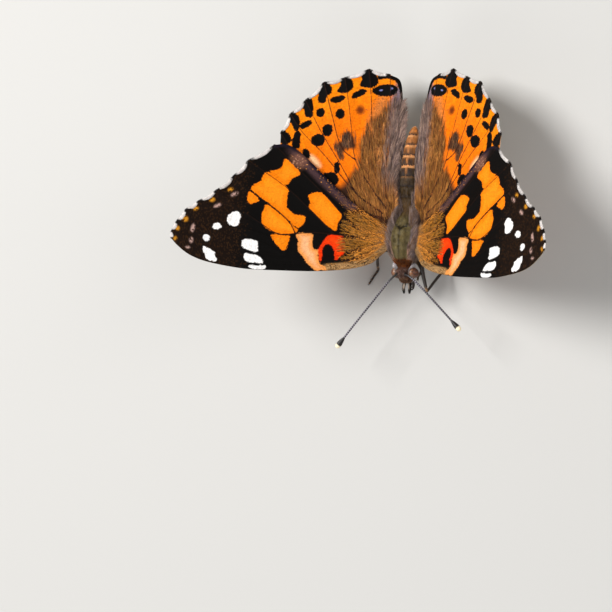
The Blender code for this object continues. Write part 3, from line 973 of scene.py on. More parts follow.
FOREWING_MARKS = [
    patch(ORANGE, [(13, 4.95), (13.6, 4.95), (14.3, 4.8), (14.9, 4.3), (14.7, 3.7), (14.5, 3.2), (14.7, 2.7),
        (14.3, 2.2), (13.2, 1.4), (12, 0.4), (11, -0.15), (10.4, -0.4), (10.15, 0), (10.15, 0.8), (9.8, 1.4),
        (9.7, 1.9), (10.1, 2.4), (10.8, 3.1), (11.5, 3.8), (12.3, 4.5)]),
    patch(ORANGE, [(16.5, 7.6), (17.3, 8.3), (18.6, 9.3), (19, 9.2), (19.1, 8.6), (19.4, 7.9), (20.2, 7.5),
        (20.9, 7.3), (19.9, 6.5), (18.7, 5.55), (18, 5.7), (17.7, 6.3), (17.2, 6.8), (16.5, 7.2)]),
    patch(ORANGE, [(18.1, 5.2), (19.5, 6.2), (20.9, 7.1), (21.6, 6.9), (21.9, 6.1), (22, 5.7), (22.7, 5.3),
        (23.3, 4.7), (23.2, 4.2), (22.4, 3.7), (21.3, 3), (20.1, 2.3), (18.6, 1.25), (17.2, 0.25),
        (15.9, -0.6), (15.4, -0.2), (15, 0.3), (14.9, 0.9), (15.2, 1.3), (16, 1.3), (16.7, 1.4), (17.4, 1.9),
        (17.8, 2.3), (17.9, 3), (17.9, 3.9), (17.8, 4.6)]),
    patch(ORANGE, [(15.8, -0.9), (16.5, -0.5), (17.6, 0.3), (19, 1.3), (20.2, 2.15), (20.9, 2.3),
        (21.1, 1.8), (21.3, 1), (21.3, 0.3), (21.2, -0.3), (20.9, -0.8), (20.2, -1.3), (19.3, -1.6),
        (18, -1.7), (16.8, -1.55), (16, -1.2)]),
    patch(ORANGE, [(21.9, 2.8), (22.4, 3.3), (23.3, 4), (23.6, 3.8), (23.75, 3), (23.5, 2.4), (23, 2.2),
        (22.5, 2.5)]),
    patch(ORANGE, [(16.9, -1.85), (18, -1.9), (19.2, -1.95), (19.7, -2.05), (19.4, -2.5), (19, -3.1),
        (18.3, -3.7), (17.8, -4.1), (17.3, -4.05), (17, -3), (16.9, -2.2)]),
    patch(RED, [(9.1, -1.2), (10, -1), (11.2, -1.1), (11.7, -1.6), (12.1, -2.5), (12.4, -3), (12.6, -3.6),
        (12.3, -4.6), (12.1, -5.3), (11.85, -4.6), (11.95, -3.5), (11.8, -2.8), (11.2, -2.45), (10.6, -2.8),
        (10.2, -3.4), (10.1, -4.1), (9.9, -4.7), (9.2, -4.1), (8.8, -3.6), (8.7, -3), (8.8, -2)]),
    patch(PALE, [(13.6, -1.3), (14.5, -1.2), (15.3, -1.2), (16, -1.6), (15.9, -2), (15.6, -2.3),
        (15.6, -3.1), (15.4, -3.9), (15, -4.4), (14.5, -4.9), (14.2, -5.4), (13.6, -5.9), (13, -6.3),
        (12.5, -6.55), (11.8, -6.4), (11, -6.2), (11.3, -5.8), (12, -5.5), (12.35, -4.9), (12.5, -4.2),
        (12.5, -3.6), (12.8, -3.45), (13.2, -3.4), (13.45, -3), (13.5, -2)]),
    Mark(FIRST, WHITE, [(24.7, 0.8), (25.2, 0.85), (25.8, 0.5), (26.2, 0.1), (26.3, -0.4), (26.1, -1),
        (25.4, -1.4), (24.9, -1.45), (24.5, -1), (24.4, -0.3), (24.35, 0.3)]),
    Mark(FIRST, WHITE, oval((27.65, -1.65), 0.68, 0.5, -25)),
    Mark(FIRST, WHITE, oval((28.95, -3.5), 0.48, 0.55)),
    Mark(FIRST, WHITE, [(29.2, -4.75), (28.5, -5), (27.7, -5.4), (27.4, -5.6), (27.5, -5.9), (27.1, -6.3),
        (27.1, -6.7), (27.5, -6.85), (28.2, -6.75), (28.7, -6.4), (28.9, -5.9), (29.25, -5.5), (29.3, -5)]),
    Mark(FIRST, WHITE, [(21.4, -3.4), (22, -3.1), (22.7, -3), (23.4, -3.1), (23.75, -3.5), (23.6, -4.2),
        (23.1, -4.55), (22.3, -4.7), (21.3, -4.8), (21.4, -4.2)]),
    Mark(FIRST, WHITE, [(21.2, -5.3), (22.2, -5.2), (23.1, -5.15), (23.2, -5.6), (23, -6.1), (22.4, -6.4),
        (21, -6.35), (20.2, -6.3), (20.5, -5.8)]),
    Mark(FIRST, WHITE, [(19.9, -6.65), (21, -6.75), (22.3, -6.85), (22.1, -7.25), (21, -7.3),
        (20.1, -7.15)]),
    smudge(PINK, oval((25.6, 3.35), 0.6, 0.24, -32)),
    smudge(PINK, oval((27.9, 1.4), 0.6, 0.22, -32)),
    smudge(PINK, oval((31.1, -2.3), 0.24, 0.66, 10)),
    smudge(PINK, oval((31.1, -4.1), 0.24, 0.42)),
    smudge(PINK, oval((31.5, -5.2), 0.32, 0.16)),
    smudge(GOLD, oval((26.3, 3.95), 0.42, 0.26, -30)),
    smudge(GOLD, oval((28.75, 2.15), 0.42, 0.3, -20)),
    smudge(GOLD, oval((31, 0.6), 0.42, 0.26, -20)),
    smudge(GOLD, oval((32.35, -1.1), 0.42, 0.42)),
    smudge(GOLD, oval((33.3, -2.6), 0.3, 0.34)),
    smudge(GOLD, oval((33.45, -4.1), 0.26, 0.3)),
]

HINDWING_MARKS = [
    Mark(GROUND, "8A5224", [(1, 3), (3, 2), (7.5, 3.6), (8.6, 7.2), (7.2, 9.4), (7.6, 11.8), (7.6, 13),
        (6.6, 14.6), (6.1, 16.2), (4.9, 17.4), (4, 19.4), (1.2, 16)], soft=0.9),
    Mark(GROUND, "806C74", [(0.4, 9), (2.4, 10), (3.2, 14), (3.7, 18), (3.7, 20), (3.4, 21.4), (2.9, 22.6),
        (1.4, 22.6), (0.4, 17)], soft=0.5),
    Mark(GROUND, "3A2418", [(1.4, 1.8), (3.4, 0.8), (5.6, 0.5), (9.5, 1.4), (13.5, 3.8), (14.6, 5.4),
        (13.4, 7.4), (12, 7.4), (10.4, 6.2), (9, 7.6), (7.6, 8.8), (5, 6), (2.4, 5)], soft=0.7),
    Mark(GROUND, "4A2A16", [(9.1, 14.2), (9.9, 14), (10.1, 13), (10.9, 12.8), (11.2, 12.4), (11.1, 11.5),
        (10.8, 10.8), (10.4, 10.2), (10.2, 10.7), (9.9, 11.5), (9.2, 11.7), (8.4, 11.9), (8.2, 12.6),
        (8.6, 13.4)], soft=0.3, wobble=0.16),
    smudge("6E2C08", oval((8.1, 17.7), 0.6, 0.6), 0.35),
    smudge("D07834", [(4.6, 20.4), (5.6, 19.6), (6.4, 17.4), (6.6, 15), (5.2, 14.6), (4.4, 17)], 0.8),
    # Pale smudge beside the forewing's edge: partly the wing's own paler scales, partly a painted highlight
    smudge("FFCC98", oval((14.15, 9.6), 1.2, 0.42, 42), 0.4),
    dark([(2.9, 22.7), (2.5, 22.2), (2.1, 20.5), (1.9, 19), (2.15, 19), (2.4, 20.5), (2.8, 21.8),
        (3.3, 22.4)]),
    dark(oval((11, 16.9), 0.58, 0.68)),
    dark(oval((12.6, 14.3), 0.68, 0.85, 12)),
    dark(oval((13.9, 12.7), 0.95, 0.82, -20)),
    dark(oval((15.4, 10.6), 0.42, 0.66, -25)),
    dark([(6.3, 22.9), (6, 22), (6.5, 21.4), (7, 21.2), (7.8, 21.25), (8.5, 21.4), (8.3, 22.2), (8.3, 23),
        (7.9, 23.8), (7.5, 24.1), (6.9, 23.8)]),
    dark([(9.9, 21.9), (10.3, 22.3), (11, 22.5), (11.5, 22.1), (11.2, 21.2), (11.8, 20.3), (11, 20.1),
        (10.2, 20.3), (9.6, 21.1)]),
    dark([(12.9, 20.9), (13.4, 21.4), (14, 21.6), (14.5, 21), (14.5, 20), (14.4, 19), (14.3, 18.4),
        (13.5, 18.4), (13.3, 19.4), (12.7, 19.9)]),
    dark([(15.7, 18.9), (16.3, 18.8), (16.7, 18.2), (16.4, 17.3), (16, 16.2), (15.2, 16.1), (15.1, 17.3),
        (15.3, 18)]),
    dark([(18, 16.5), (18.6, 16), (18.4, 15.4), (17.9, 14.8), (17.3, 13.9), (16.9, 13.8), (16.9, 14.7),
        (17, 15.7), (17.5, 16.1)]),
    dark([(19.2, 13.9), (19.6, 13.2), (19.3, 12.2), (18.9, 11.6), (18.3, 11.7), (17.8, 12.3), (18.1, 13),
        (18.7, 13.4)]),
    dark([(2.9, 22.45), (4, 22.75), (5, 22.8), (5.9, 22.6), (5.9, 23), (5, 23.2), (4, 23.15), (3, 22.9)]),
    dark([(3.1, 20.8), (3.9, 20.3), (5, 20.15), (6, 20.3), (6.6, 20.7), (6.3, 21.2), (5.2, 21.6),
        (4.2, 21.8), (3.3, 21.6)]),
    dark([(7.5, 20.65), (8.1, 20), (8.9, 19.5), (9.5, 19.5), (9.2, 20.1), (8.3, 20.7)]),
    dark([(10.5, 19.4), (11.2, 18.8), (12, 18.5), (12.6, 18.7), (12.2, 19.2), (11.4, 19.5)]),
    dark(oval((13.9, 16.8), 0.55, 0.6)),
    dark(oval((15.9, 14.85), 0.95, 0.36, -33)),
    dark([(16.5, 11.4), (17.2, 11.3), (17.5, 12.1), (17.4, 13), (17.1, 13.7), (16.6, 13.5), (16.6, 12.4)]),
    dark(oval((10.9, 9), 0.33, 0.8)),
    dark([(10.6, 7.3), (11.3, 8.1), (12.5, 7.9), (12.8, 7.4), (12, 6.8), (11, 6.4)]),
    Mark(SECOND, LILAC, oval((3.8, 21.3), 0.22, 0.16, -20)),
    Mark(SECOND, LILAC, oval((5.4, 20.9), 0.34, 0.15, -18)),
]

# The marbling, ringed spots and edge line of the lower side follow the species
UNDER_TINTS = {ORANGE: "E8905C", RED: "E2603A", PALE: "F4B890", GOLD: "C8A878", PINK: "B8B4C0"}
UNDER_FOREWING_MARKS = [
    Mark(mark.layer, UNDER_TINTS.get(mark.colour, mark.colour), mark.outline, mark.soft, 0.08)
    for mark in FOREWING_MARKS]
DARK_MARBLING = [
    ((5.0, 5.0), 1.1, 0.6, 50), ((8.5, 4.6), 1.2, 0.5, 20), ((7.6, 8.0), 1.0, 0.7, 60),
    ((11.6, 7.2), 1.3, 0.6, 30), ((5.2, 10.5), 0.9, 1.5, 0), ((9.4, 11.6), 1.2, 0.8, 70),
    ((13.2, 9.8), 1.1, 0.7, 45), ((7.6, 14.2), 0.9, 1.1, 10), ((11.2, 12.9), 0.8, 0.5, 60),
    ((4.8, 15.6), 0.7, 1.4, 0), ((16.2, 11.2), 0.9, 0.6, 60), ((3.2, 12.0), 0.4, 2.2, 0),
    ((14.9, 13.2), 0.6, 0.4, 50)]
PALE_MARBLING = [
    ((6.6, 6.5), 1.2, 0.32, 50), ((9.9, 6.2), 1.4, 0.34, 30), ((9.4, 9.4), 0.34, 1.2, 20),
    ((12.2, 8.6), 1.3, 0.3, 40), ((6.3, 12.4), 0.3, 1.3, 0), ((10.4, 14.3), 0.4, 1.1, 15),
    ((8.6, 16.2), 0.6, 0.5, 0), ((14.6, 11.6), 0.35, 1.0, -30), ((4.1, 8.2), 0.26, 1.6, -5),
    ((12.4, 11.0), 0.9, 0.28, 50)]
EDGE_DASHES = [((6.9, 21.6), 8), ((10.2, 20.2), -18), ((13.0, 18.9), -38), ((15.6, 16.4), -48),
               ((17.6, 13.9), -60)]
# Middle of each ringed spot, and the sizes of its black and blue
RINGED_SPOTS = [((8.1, 18.2), 0.62, 0.3), ((10.9, 17.4), 0.5, 0.2), ((12.9, 15.2), 0.46, 0.18),
                ((14.6, 13.9), 0.72, 0.34), ((16.6, 12.0), 0.5, 0.2)]
UNDER_HINDWING_MARKS = [
    *(Mark(FIRST, "5A4428", oval(*shape), wobble=0.42) for shape in DARK_MARBLING),
    *(Mark(SECOND, "F4ECDA", oval(*shape), wobble=0.3) for shape in PALE_MARBLING),
    *(Mark(FIRST, BLACK, oval(spot, black, black * 1.1), spread=0.04) for spot, black, _ in RINGED_SPOTS),
    *(Mark(SECOND, "5C86B0", oval(centre, blue, blue * 1.1)) for centre, _, blue in RINGED_SPOTS),
    *(Mark(GROUND, "D8A850", oval(centre, 0.95, 1.0), soft=0.15) for centre, _, _ in RINGED_SPOTS),
    *(Mark(SECOND, "7E86A8", oval(centre, 0.9, 0.2, turn)) for centre, turn in EDGE_DASHES),
]


FOREWING = Wing(
    kind="forewing", dihedral=FOREWING_TILT, height=forewing_height, skin_offset=-0.25,
    costa=[(2.2, -2), (3.5, -3.4), (5, -4.75), (8, -5.8), (12.5, -6.6), (18, -7.1), (23, -7.4),
           (28, -7.05), (31, -6.3), (33, -5.1), (34, -4.2)],
    crests=[(34, -4.2), (34.1, -3.1), (33.55, -1.6), (32.4, 0.3), (30.7, 1.75), (28.25, 3.65), (26.05, 6),
            (24.2, 8.5), (20.6, 11.25)],
    rear=[(20.6, 11.25), (18.8, 11.5), (16.5, 10.4), (12.5, 7.2), (8.5, 4.2), (5.4, 2.3), (3.4, 1.3),
          (2.1, 0.8), (2, -0.8), (2.2, -2)],
    veins=[
        [(3.4, -2.2), (8, -4.6), (12.5, -5.5), (18, -6.1), (23, -6.5), (27.5, -6.3)],
        [(3.4, -1.6), (8, -3.4), (12, -4.2), (17, -4.9), (23.2, -4.9), (28.5, -4.7), (34.1, -3.1)],
        [(17, -4.9), (21, -3.4), (26, -2.9), (33.55, -1.6)],
        [(17, -4.9), (18.5, -2.9), (24, -1.5), (28.5, -0.6), (32.4, 0.3)],
        [(18.5, -2.9), (18.6, -1.8), (23, -0.4), (27, 0.7), (30.7, 1.75)],
        [(3.4, -1.1), (8, -1), (13, -1), (16.1, -1.5), (18.6, -1.8), (21.2, -0.6), (25, 1.5),
         (28.25, 3.65)],
        [(16.1, -1.5), (17.4, 0.3), (20.3, 2.3), (23.6, 4.2), (26.05, 6)],
        [(10.4, -1), (14.7, 2.5), (18.3, 5.2), (24.2, 8.5)],
        [(3.4, -0.4), (7, 0.3), (9.7, 2.2), (12.4, 4.6), (16.6, 7.95), (20.6, 11.25)],
    ],
    marks=FOREWING_MARKS, under_marks=UNDER_FOREWING_MARKS, root=(1, -1),
    pale_veins=5, vein_end=23.8)

HINDWING = Wing(
    kind="hindwing", dihedral=HINDWING_TILT, height=hindwing_height, skin_offset=0.3,
    costa=[(1.7, 0.6), (3.2, 0.5), (5.6, 1), (9.5, 2), (13.5, 4.4), (17, 7.9), (19, 10.6), (19.4, 13.2)],
    crests=[(19.4, 13.2), (18.3, 16.2), (16.3, 18.4), (13.9, 21.3), (10.9, 22.25), (7.5, 23.85),
            (4.3, 23.3)],
    rear=[(4.3, 23.3), (2.7, 22.5), (2, 19.5), (1.55, 16.5), (1.7, 13), (2, 10), (2.1, 7), (1.9, 4.4),
          (1.7, 2.2), (1.7, 0.6)],
    veins=[
        [(3.9, 2.2), (8, 3.2), (12, 5.4), (16, 9.2), (19.4, 13.2)],
        [(3.9, 3), (8, 5.6), (12.8, 10.6), (16.2, 13.6), (18.3, 16.2)],
        [(8, 5.6), (10.6, 9.8), (13.4, 13.8), (16.3, 18.4)],
        [(8, 10.2), (10.3, 12), (12.2, 16.7), (13.9, 21.3)],
        [(3.4, 3.8), (6, 7), (8, 10.2), (9, 14.5), (9.9, 18.5), (10.9, 22.25)],
        [(6, 7), (6.1, 13), (6.6, 19), (7.5, 23.85)],
        [(3.2, 5.2), (3.4, 10), (3.6, 17), (4.3, 23.3)],
    ],
    marks=HINDWING_MARKS, under_marks=UNDER_HINDWING_MARKS, root=(1.5, 0))

# Ground colours, the share of loose scales at each point, and their colours
Ground = tuple[Array, Array, Array]


def forewing_ground(wing: Wing, spots: Array) -> Ground:
    """Paint the forewing's upper ground: dark brown with a painted sheen at the tip, golden at the base, tan
    along the front edge.

    Args:
        wing: The forewing.
        spots: Plan points.

    Returns:
        The ground and its loose scales.
    """
    u, v = spots[:, 0], spots[:, 1]
    rear, _ = line_distance(spots, spline(wing.rear[:5], 0.5))
    front, _ = line_distance(spots, spline(wing.costa, 0.5))
    rear_edge = (1.0 - smoothstep(0.25, 0.6, rear)) * smoothstep(6.0, 9.0, u)
    rear_band = (1.0 - smoothstep(0.8, 1.7, rear)) * smoothstep(4.0, 8.0, u)
    rear_band = rear_band * (1.0 - smoothstep(17.0, 19.5, u))
    front_strip = (1.0 - smoothstep(0.75, 1.15, front)) * (1.0 - smoothstep(10.5, 12.0, u))
    # Near the rear corner: partly the wing's own tan scales, partly a tan-pink painted sheen over them
    golden = smoothstep(1.4, 0.0, np.hypot(u - 16.9, (v - 9.2) * 1.1) - 0.5)
    ground = painted(
        dyed(BLACK, len(spots)),
        # Painted sheen: browner towards the tip
        ("160B05", smoothstep(22.0, 27.0, u)),
        ("5A3214", 1.0 - smoothstep(4.5, 9.6, u)),
        ("4A3436", rear_band),
        ("1A1420", rear_edge),
        ("BC905C", front_strip),
        ("8A5C48", golden * 0.6))
    base = 1.0 - smoothstep(5.0, 9.6, u)
    warm = rear_band * smoothstep(15.5, 10.0, u)
    dust = 0.5 * base * (1 - front_strip) + 0.46 * front_strip
    # Loose brown scales towards the tip are painted sheen, and near the rear corner they are partly painted
    # sheen
    for share, amount in ((smoothstep(22.0, 25.0, u), 0.2), (golden, 0.12), (warm, 0.14)):
        dust = np.maximum(dust, amount * share)
    return ground, dust, painted(
        dyed("E0903A", len(spots)),
        ("3A2818", front_strip),
        ("2C1A0B", smoothstep(17.5, 19.5, u)),
        ("B48468", golden),
        ("6E4A32", warm * (1 - base)))


def hindwing_ground(wing: Wing, spots: Array) -> Ground:
    """Paint the hindwing's upper ground: orange, more yellow towards the margin.

    Args:
        wing: The hindwing.
        spots: Plan points.

    Returns:
        The ground and its loose scales.
    """
    margin, _ = line_distance(spots, wing.margin()[0])
    ground = painted(dyed(DEEP_ORANGE, len(spots)), ("F68404", 1.0 - smoothstep(1.0, 6.0, margin)))
    dust = 0.08 * (1.0 - smoothstep(4.0, 9.0, spots[:, 0]))
    return ground, dust, dyed("A65E2A", len(spots))


def forewing_under(wing: Wing, spots: Array) -> Ground:
    """Paint the forewing's lower ground: dark, rosy at the base and sandy at the tip.

    Args:
        wing: The forewing; not used.
        spots: Plan points.

    Returns:
        The ground and its loose scales.
    """
    u, v = spots[:, 0], spots[:, 1]
    tip = smoothstep(26.0, 28.5, u - 0.35 * v)
    ground = painted(
        dyed("2A1A12", len(spots)),
        ("DE8A64", 1.0 - smoothstep(7.0, 11.0, u)),
        ("A08862", tip))
    return ground, 0.05 + 0.14 * tip, dyed("E8D8C0", len(spots))


def hindwing_under(wing: Wing, spots: Array) -> Ground:
    """Paint the hindwing's lower ground: marbled olive brown, paler along the outer band.

    Args:
        wing: The hindwing.
        spots: Plan points.

    Returns:
        The ground and its loose scales.
    """
    margin, _ = line_distance(spots, wing.margin()[0])
    ground = painted(
        dyed("96794E", len(spots)),
        ("E6D8BC", (1.0 - smoothstep(1.6, 2.4, margin)) * smoothstep(0.3, 0.9, margin)),
        ("B08450", smoothstep(4.6, 5.6, margin) * (1.0 - smoothstep(6.6, 7.8, margin))))
    return ground, np.full(len(spots), 0.12), dyed("D0BA90", len(spots))


@dataclass
class WingMaker:
    """Builds both sides of one kind of wing, with its fringe."""

    wing: Wing
    upper: Callable[[Wing, Array], Ground]
    under: Callable[[Wing, Array], Ground]
    material: Material
    fringe_material: Material
    vein_colour: str
    under_vein_colour: str = "F0E4D0"
    vein_half: float = 0.075
    dark_rim: float = 0.09
    fringe_step: float = 0.055
    fringe_layers: int = 3
    fringe_length: float = 0.26
    notch_length: float = 0.24
    fringe_dark: str = "1A120E"
    fringe_white: str = "F4ECE6"

    def face(self, spots: Array, top: bool) -> Paint:
        """Paint one face: its ground, marks, veins, dark rim and loose scales.

        Args:
            spots: Plan points.
            top: Whether it is the upper face.

        Returns:
            Colours and values by name.
        """
        wing = self.wing
        ground, dust, dust_tint = (self.upper if top else self.under)(wing, spots)
        paint = wing.paint(spots, ground, wing.marks if top else wing.under_marks)
        gap, strength = wing.vein_gap(spots, wing.pale_veins if top else 0)
        line = gap - self.vein_half * strength + (FAR * (spots[:, 0] > wing.vein_end) if top else 0.0)
        lay(paint, Layer.SECOND, line, dyed(self.vein_colour if top else self.under_vein_colour, len(spots)))
        far, _ = line_distance(spots, wing.margin()[0])
        lay(paint, Layer.FIRST, far - self.dark_rim, dyed(BLACK, len(spots)))
        paint["dust"] = dust * smoothstep(-0.05, 0.12, paint[Layer.FIRST.edge])
        paint["dust_tint"] = dust_tint
        return paint

    def build(self) -> None:
        """Make the wing and its fringe on both sides of the body."""
        wing = self.wing
        spots, triangles = wing.plan()
        gap, strength = wing.vein_gap(spots)
        ridge = wing.vein_relief * strength * np.exp(-(gap / wing.vein_width) ** 2)
        sink = wing.pleat * (1.0 - np.exp(-(gap / wing.pleat_width) ** 2))
        half = 0.5 * wing.thickness + ridge
        top, bottom = self.face(spots, True), self.face(spots, False)
        paint = {key: np.concatenate([top[key], bottom[key]]) for key in top}
        scale_rows = wing.rows(spots)
        faces = self.closed(triangles, len(spots))
        # The upper face takes the left half of the bake map, and the lower face the right half
        low, high = spots.min(axis=0), spots.max(axis=0)
        chart = (spots - low) / (high - low) * np.array([0.48, 0.96]) + 0.01
        bake = np.vstack([chart, chart + np.array([0.5, 0.0])])
        for side in Side:
            middle = wing.surface(spots, side)
            upper = middle + wing.upward(side) * (half - sink)[:, None]
            lower = middle - wing.upward(side) * (half + sink)[:, None]
            net = Net(np.vstack([upper, lower]), faces if side is Side.LEFT else faces[:, ::-1], bake,
                      colours={key: row for key, row in paint.items() if row.ndim == 2},
                      values={key: row for key, row in paint.items() if row.ndim == 1},
                      vectors={"plan": np.vstack([scale_rows, scale_rows + np.array([0.0, 0.0, 40.0])])})
            name = wing.kind + "_" + side.label
            net.build(name + "_scales", self.material, wing.kind + "_scales", (name,))
            self.fringe(side, name)

    def closed(self, triangles: Array, count: int) -> Array:
        """Join the upper and the lower face along their rim.

        Args:
            triangles: The upper face.
            count: Number of its points; the lower face's points follow them.

        Returns:
            All the triangles.
        """
        sides = dict.fromkeys(
            pair for a, b, c in triangles.tolist() for pair in ((a, b), (b, c), (c, a)))
        rim = np.array([(a, b) for a, b in sides if (b, a) not in sides])
        rim_faces = np.vstack([np.stack([rim[:, 1], rim[:, 0], rim[:, 0] + count], axis=1),
                               np.stack([rim[:, 1], rim[:, 0] + count, rim[:, 1] + count], axis=1)])
        return np.vstack([triangles, triangles[:, ::-1] + count, rim_faces])

    def fringe(self, side: Side, name: str) -> None:
        """Set fine hair scales along the outer margin, white in its notches.

        Args:
            side: Side of the body.
            name: Name of the wing.
        """
        wing = self.wing
        fine = even_steps(np.column_stack(wing.margin()), self.fringe_step)
        path, notch = fine[:, :2], fine[:, 2]
        tangent = np.gradient(path, axis=0)
        outward = unit(np.stack([tangent[:, 1], -tangent[:, 0]], axis=1))
        if np.mean(np.sum(outward * (path - wing.middle()), axis=1)) < 0:
            outward = -outward
        rng = np.random.default_rng(7)
        roots, lies, lengths, tints, places = [], [], [], [], []
        for layer in range(self.fringe_layers):
            jitter = rng.normal(0.0, 1.0, (len(path), 2))
            start = path - outward * 0.12 + jitter * 0.025
            end = path + outward + jitter * 0.18
            base = wing.surface(start, side)
            base[:, 2] += (layer - 1) * 0.04
            roots.append(base)
            lies.append(wing.surface(end, side) - wing.surface(start, side))
            size = self.fringe_length + self.notch_length * notch
            lengths.append(size * rng.uniform(0.8, 1.12, len(path)))
            white = np.clip((notch - 0.34 + rng.normal(0.0, 0.06, len(path))) * 7.0, 0.0, 1.0)
            tints.append(painted(dyed(self.fringe_dark, len(path)), (self.fringe_white, white)))
            places.append((path + 10.0) / 60.0 + 0.002 * layer)
        lift = np.tile(wing.upward(side), (len(path) * self.fringe_layers, 1))
        tufts = Tufts(np.vstack(roots), np.vstack(lies), lift, np.concatenate(lengths), 0.1,
                      np.vstack(tints), np.vstack(places), droop=0.05, blunt=0.8)
        tufts.net().build(name + "_fringe", self.fringe_material, wing.kind + "_scales")


@dataclass
class BodySkin:
    """One skin over the head, thorax and abdomen, inside the solids by the coat's depth.

    Each section gives its place along the body, the height of its middle, half its width and
    height, and the depth of the coat there.
    """

    sections: Points = field(default_factory=lambda: [
        (-6.5, -1.9, 0.12, 0.12, 0.02), (-6.38, -1.88, 0.55, 0.55, 0.05), (-6.1, -1.78, 0.95, 1.0, 0.1),
        (-5.6, -1.68, 1.08, 1.34, 0.12), (-5.1, -1.6, 1.12, 1.38, 0.15), (-4.7, -1.5, 1.22, 1.22, 0.16),
        (-4.35, -1.38, 1.12, 1.12, 0.08), (-4.0, -1.22, 1.55, 1.55, 0.2), (-3.5, -1.03, 1.95, 1.95, 0.28),
        (-2.8, -0.88, 2.22, 2.24, 0.3), (-2.0, -0.72, 2.45, 2.5, 0.32), (-0.6, -0.6, 2.6, 2.6, 0.34),
        (0.45, -0.6, 2.55, 2.55, 0.34), (0.85, -0.66, 2.4, 2.34, 0.34), (1.3, -0.66, 2.38, 2.4, 0.34),
        (2.4, -0.75, 2.0, 2.05, 0.32), (3.2, -0.88, 1.58, 1.62, 0.28), (3.7, -0.9, 1.36, 1.38, 0.2),
        (4.6, -0.88, 1.5, 1.5, 0.14), (6.5, -0.82, 1.68, 1.68, 0.1)])
    abdomen_start: float = 3.8
    abdomen_length: float = 12.3
    abdomen_radius: float = 1.72
    abdomen_coat: float = 0.08
    rings: int = 8
    ring_pinch: float = 0.055
    front: float = -6.5
    waist: float = 4.0
    rear: float = 16.05

    def rings_at(self, y: Array) -> tuple[Array, Array]:
        """Find places on the abdomen."""
        along = np.clip((y - self.abdomen_start) / self.abdomen_length, 0.0, 1.0)
        return along, (along * self.rings) % 1.0

    def profile(self, y: Array) -> tuple[Array, Array, Array]:
        """Give the skin's section at places along the body.

        Args:
            y: Places along the body.

        Returns:
            Middle height, half width and half height.
        """
        path = spline(self.sections, 0.08)
        z, width, height, coat = (np.interp(y, path[:, 0], path[:, i]) for i in (1, 2, 3, 4))
        along, phase = self.rings_at(y)
        slim = 0.72 + 0.28 * np.minimum(1.0, along * 4)
        radius = self.abdomen_radius * np.sqrt(np.maximum(0.0, 1.0 - along ** 2.6)) * slim
        pinch = np.exp(-(np.minimum(phase, 1.0 - phase) / 0.09) ** 2)
        radius = radius * (1.0 - self.ring_pinch * pinch)
        share = smoothstep(3.9, 5.4, y)
        rise = -0.9 + 1.35 * np.sin(np.pi / 2 * np.minimum(1.0, 1.25 * along))
        girth = np.maximum(0.02, radius - self.abdomen_coat) * share
        z = z * (1 - share) + rise * share
        return z, (width - coat) * (1 - share) + girth, (height - coat) * (1 - share) + girth

    def spot(self, y: Array, angle: Array) -> Array:
        """Give skin points."""
        z, width, height = self.profile(y)
        return np.stack([width * np.cos(angle), y, z + height * np.sin(angle)], axis=1)

    def at(self, y: Array, angle: Array) -> tuple[Array, Array]:
        """Give skin points and their normals.

        Args:
            y: Places along the body.
            angle: Angles round it.

        Returns:
            Points and outward normals.
        """
        here = self.spot(y, angle)
        around, along = self.spot(y, angle + 0.02) - here, self.spot(y + 0.02, angle) - here
        normal = unit(np.cross(around, along), 1e-12)
        outward = np.stack([np.cos(angle), np.zeros_like(y), np.sin(angle)], axis=1)
        return here, normal * np.sign(np.sum(normal * outward, axis=1))[:, None]

    def chart(self, y: Array, angle: Array) -> Array:
        """Give places on the bake map: along the body, and round it."""
        return np.stack([(y + 7.0) / 24.0, angle / (2 * np.pi)], axis=1)

    def thorax_tint(self, y: Array, angle: Array) -> Array:
        """Colour of the thorax and head: olive with fine lines, paler sides, a brown head, and painted shade
        in a V-shaped furrow and along the middle of the back.

        Args:
            y: Places along the body.
            angle: Angles round it.

        Returns:
            Linear colours.
        """
        rise, across = np.sin(angle), np.cos(angle)
        side = np.abs(across)
        lines = 0.5 + 0.5 * np.cos(across * 15.0 + 0.9 * np.sin(y * 1.3 + across))
        groove_shade = (1.0 - smoothstep(0.1, 0.26, np.abs(y - 0.5 - 1.5 * side))) * (side < 0.5)
        seam_shade = (1.0 - smoothstep(0.03, 0.07, side)) * smoothstep(0.6, 0.3, y) * smoothstep(-3.4, -2.6, y)
        return painted(
            dyed("7C6C42", len(y)),
            ("4A3E20", lines * 0.55 * smoothstep(0.2, 0.9, rise)),
            ("A48C7C", 1.0 - smoothstep(0.55, 0.82, rise)),
            ("A48E74", 1.0 - smoothstep(-0.4, 0.1, rise)),
            # Painted shade in the V-shaped furrow and in the parting along the middle of the back
            ("1E180C", groove_shade * 0.9),
            ("38301A", seam_shade * (rise > 0.0) * 0.7),
            ("5C4428", smoothstep(1.8, 3.4, y)),
            ("7A3C0E", 1.0 - smoothstep(-4.35, -3.95, y)),
            ("603E2E", 1.0 - smoothstep(-4.9, -4.6, y)))

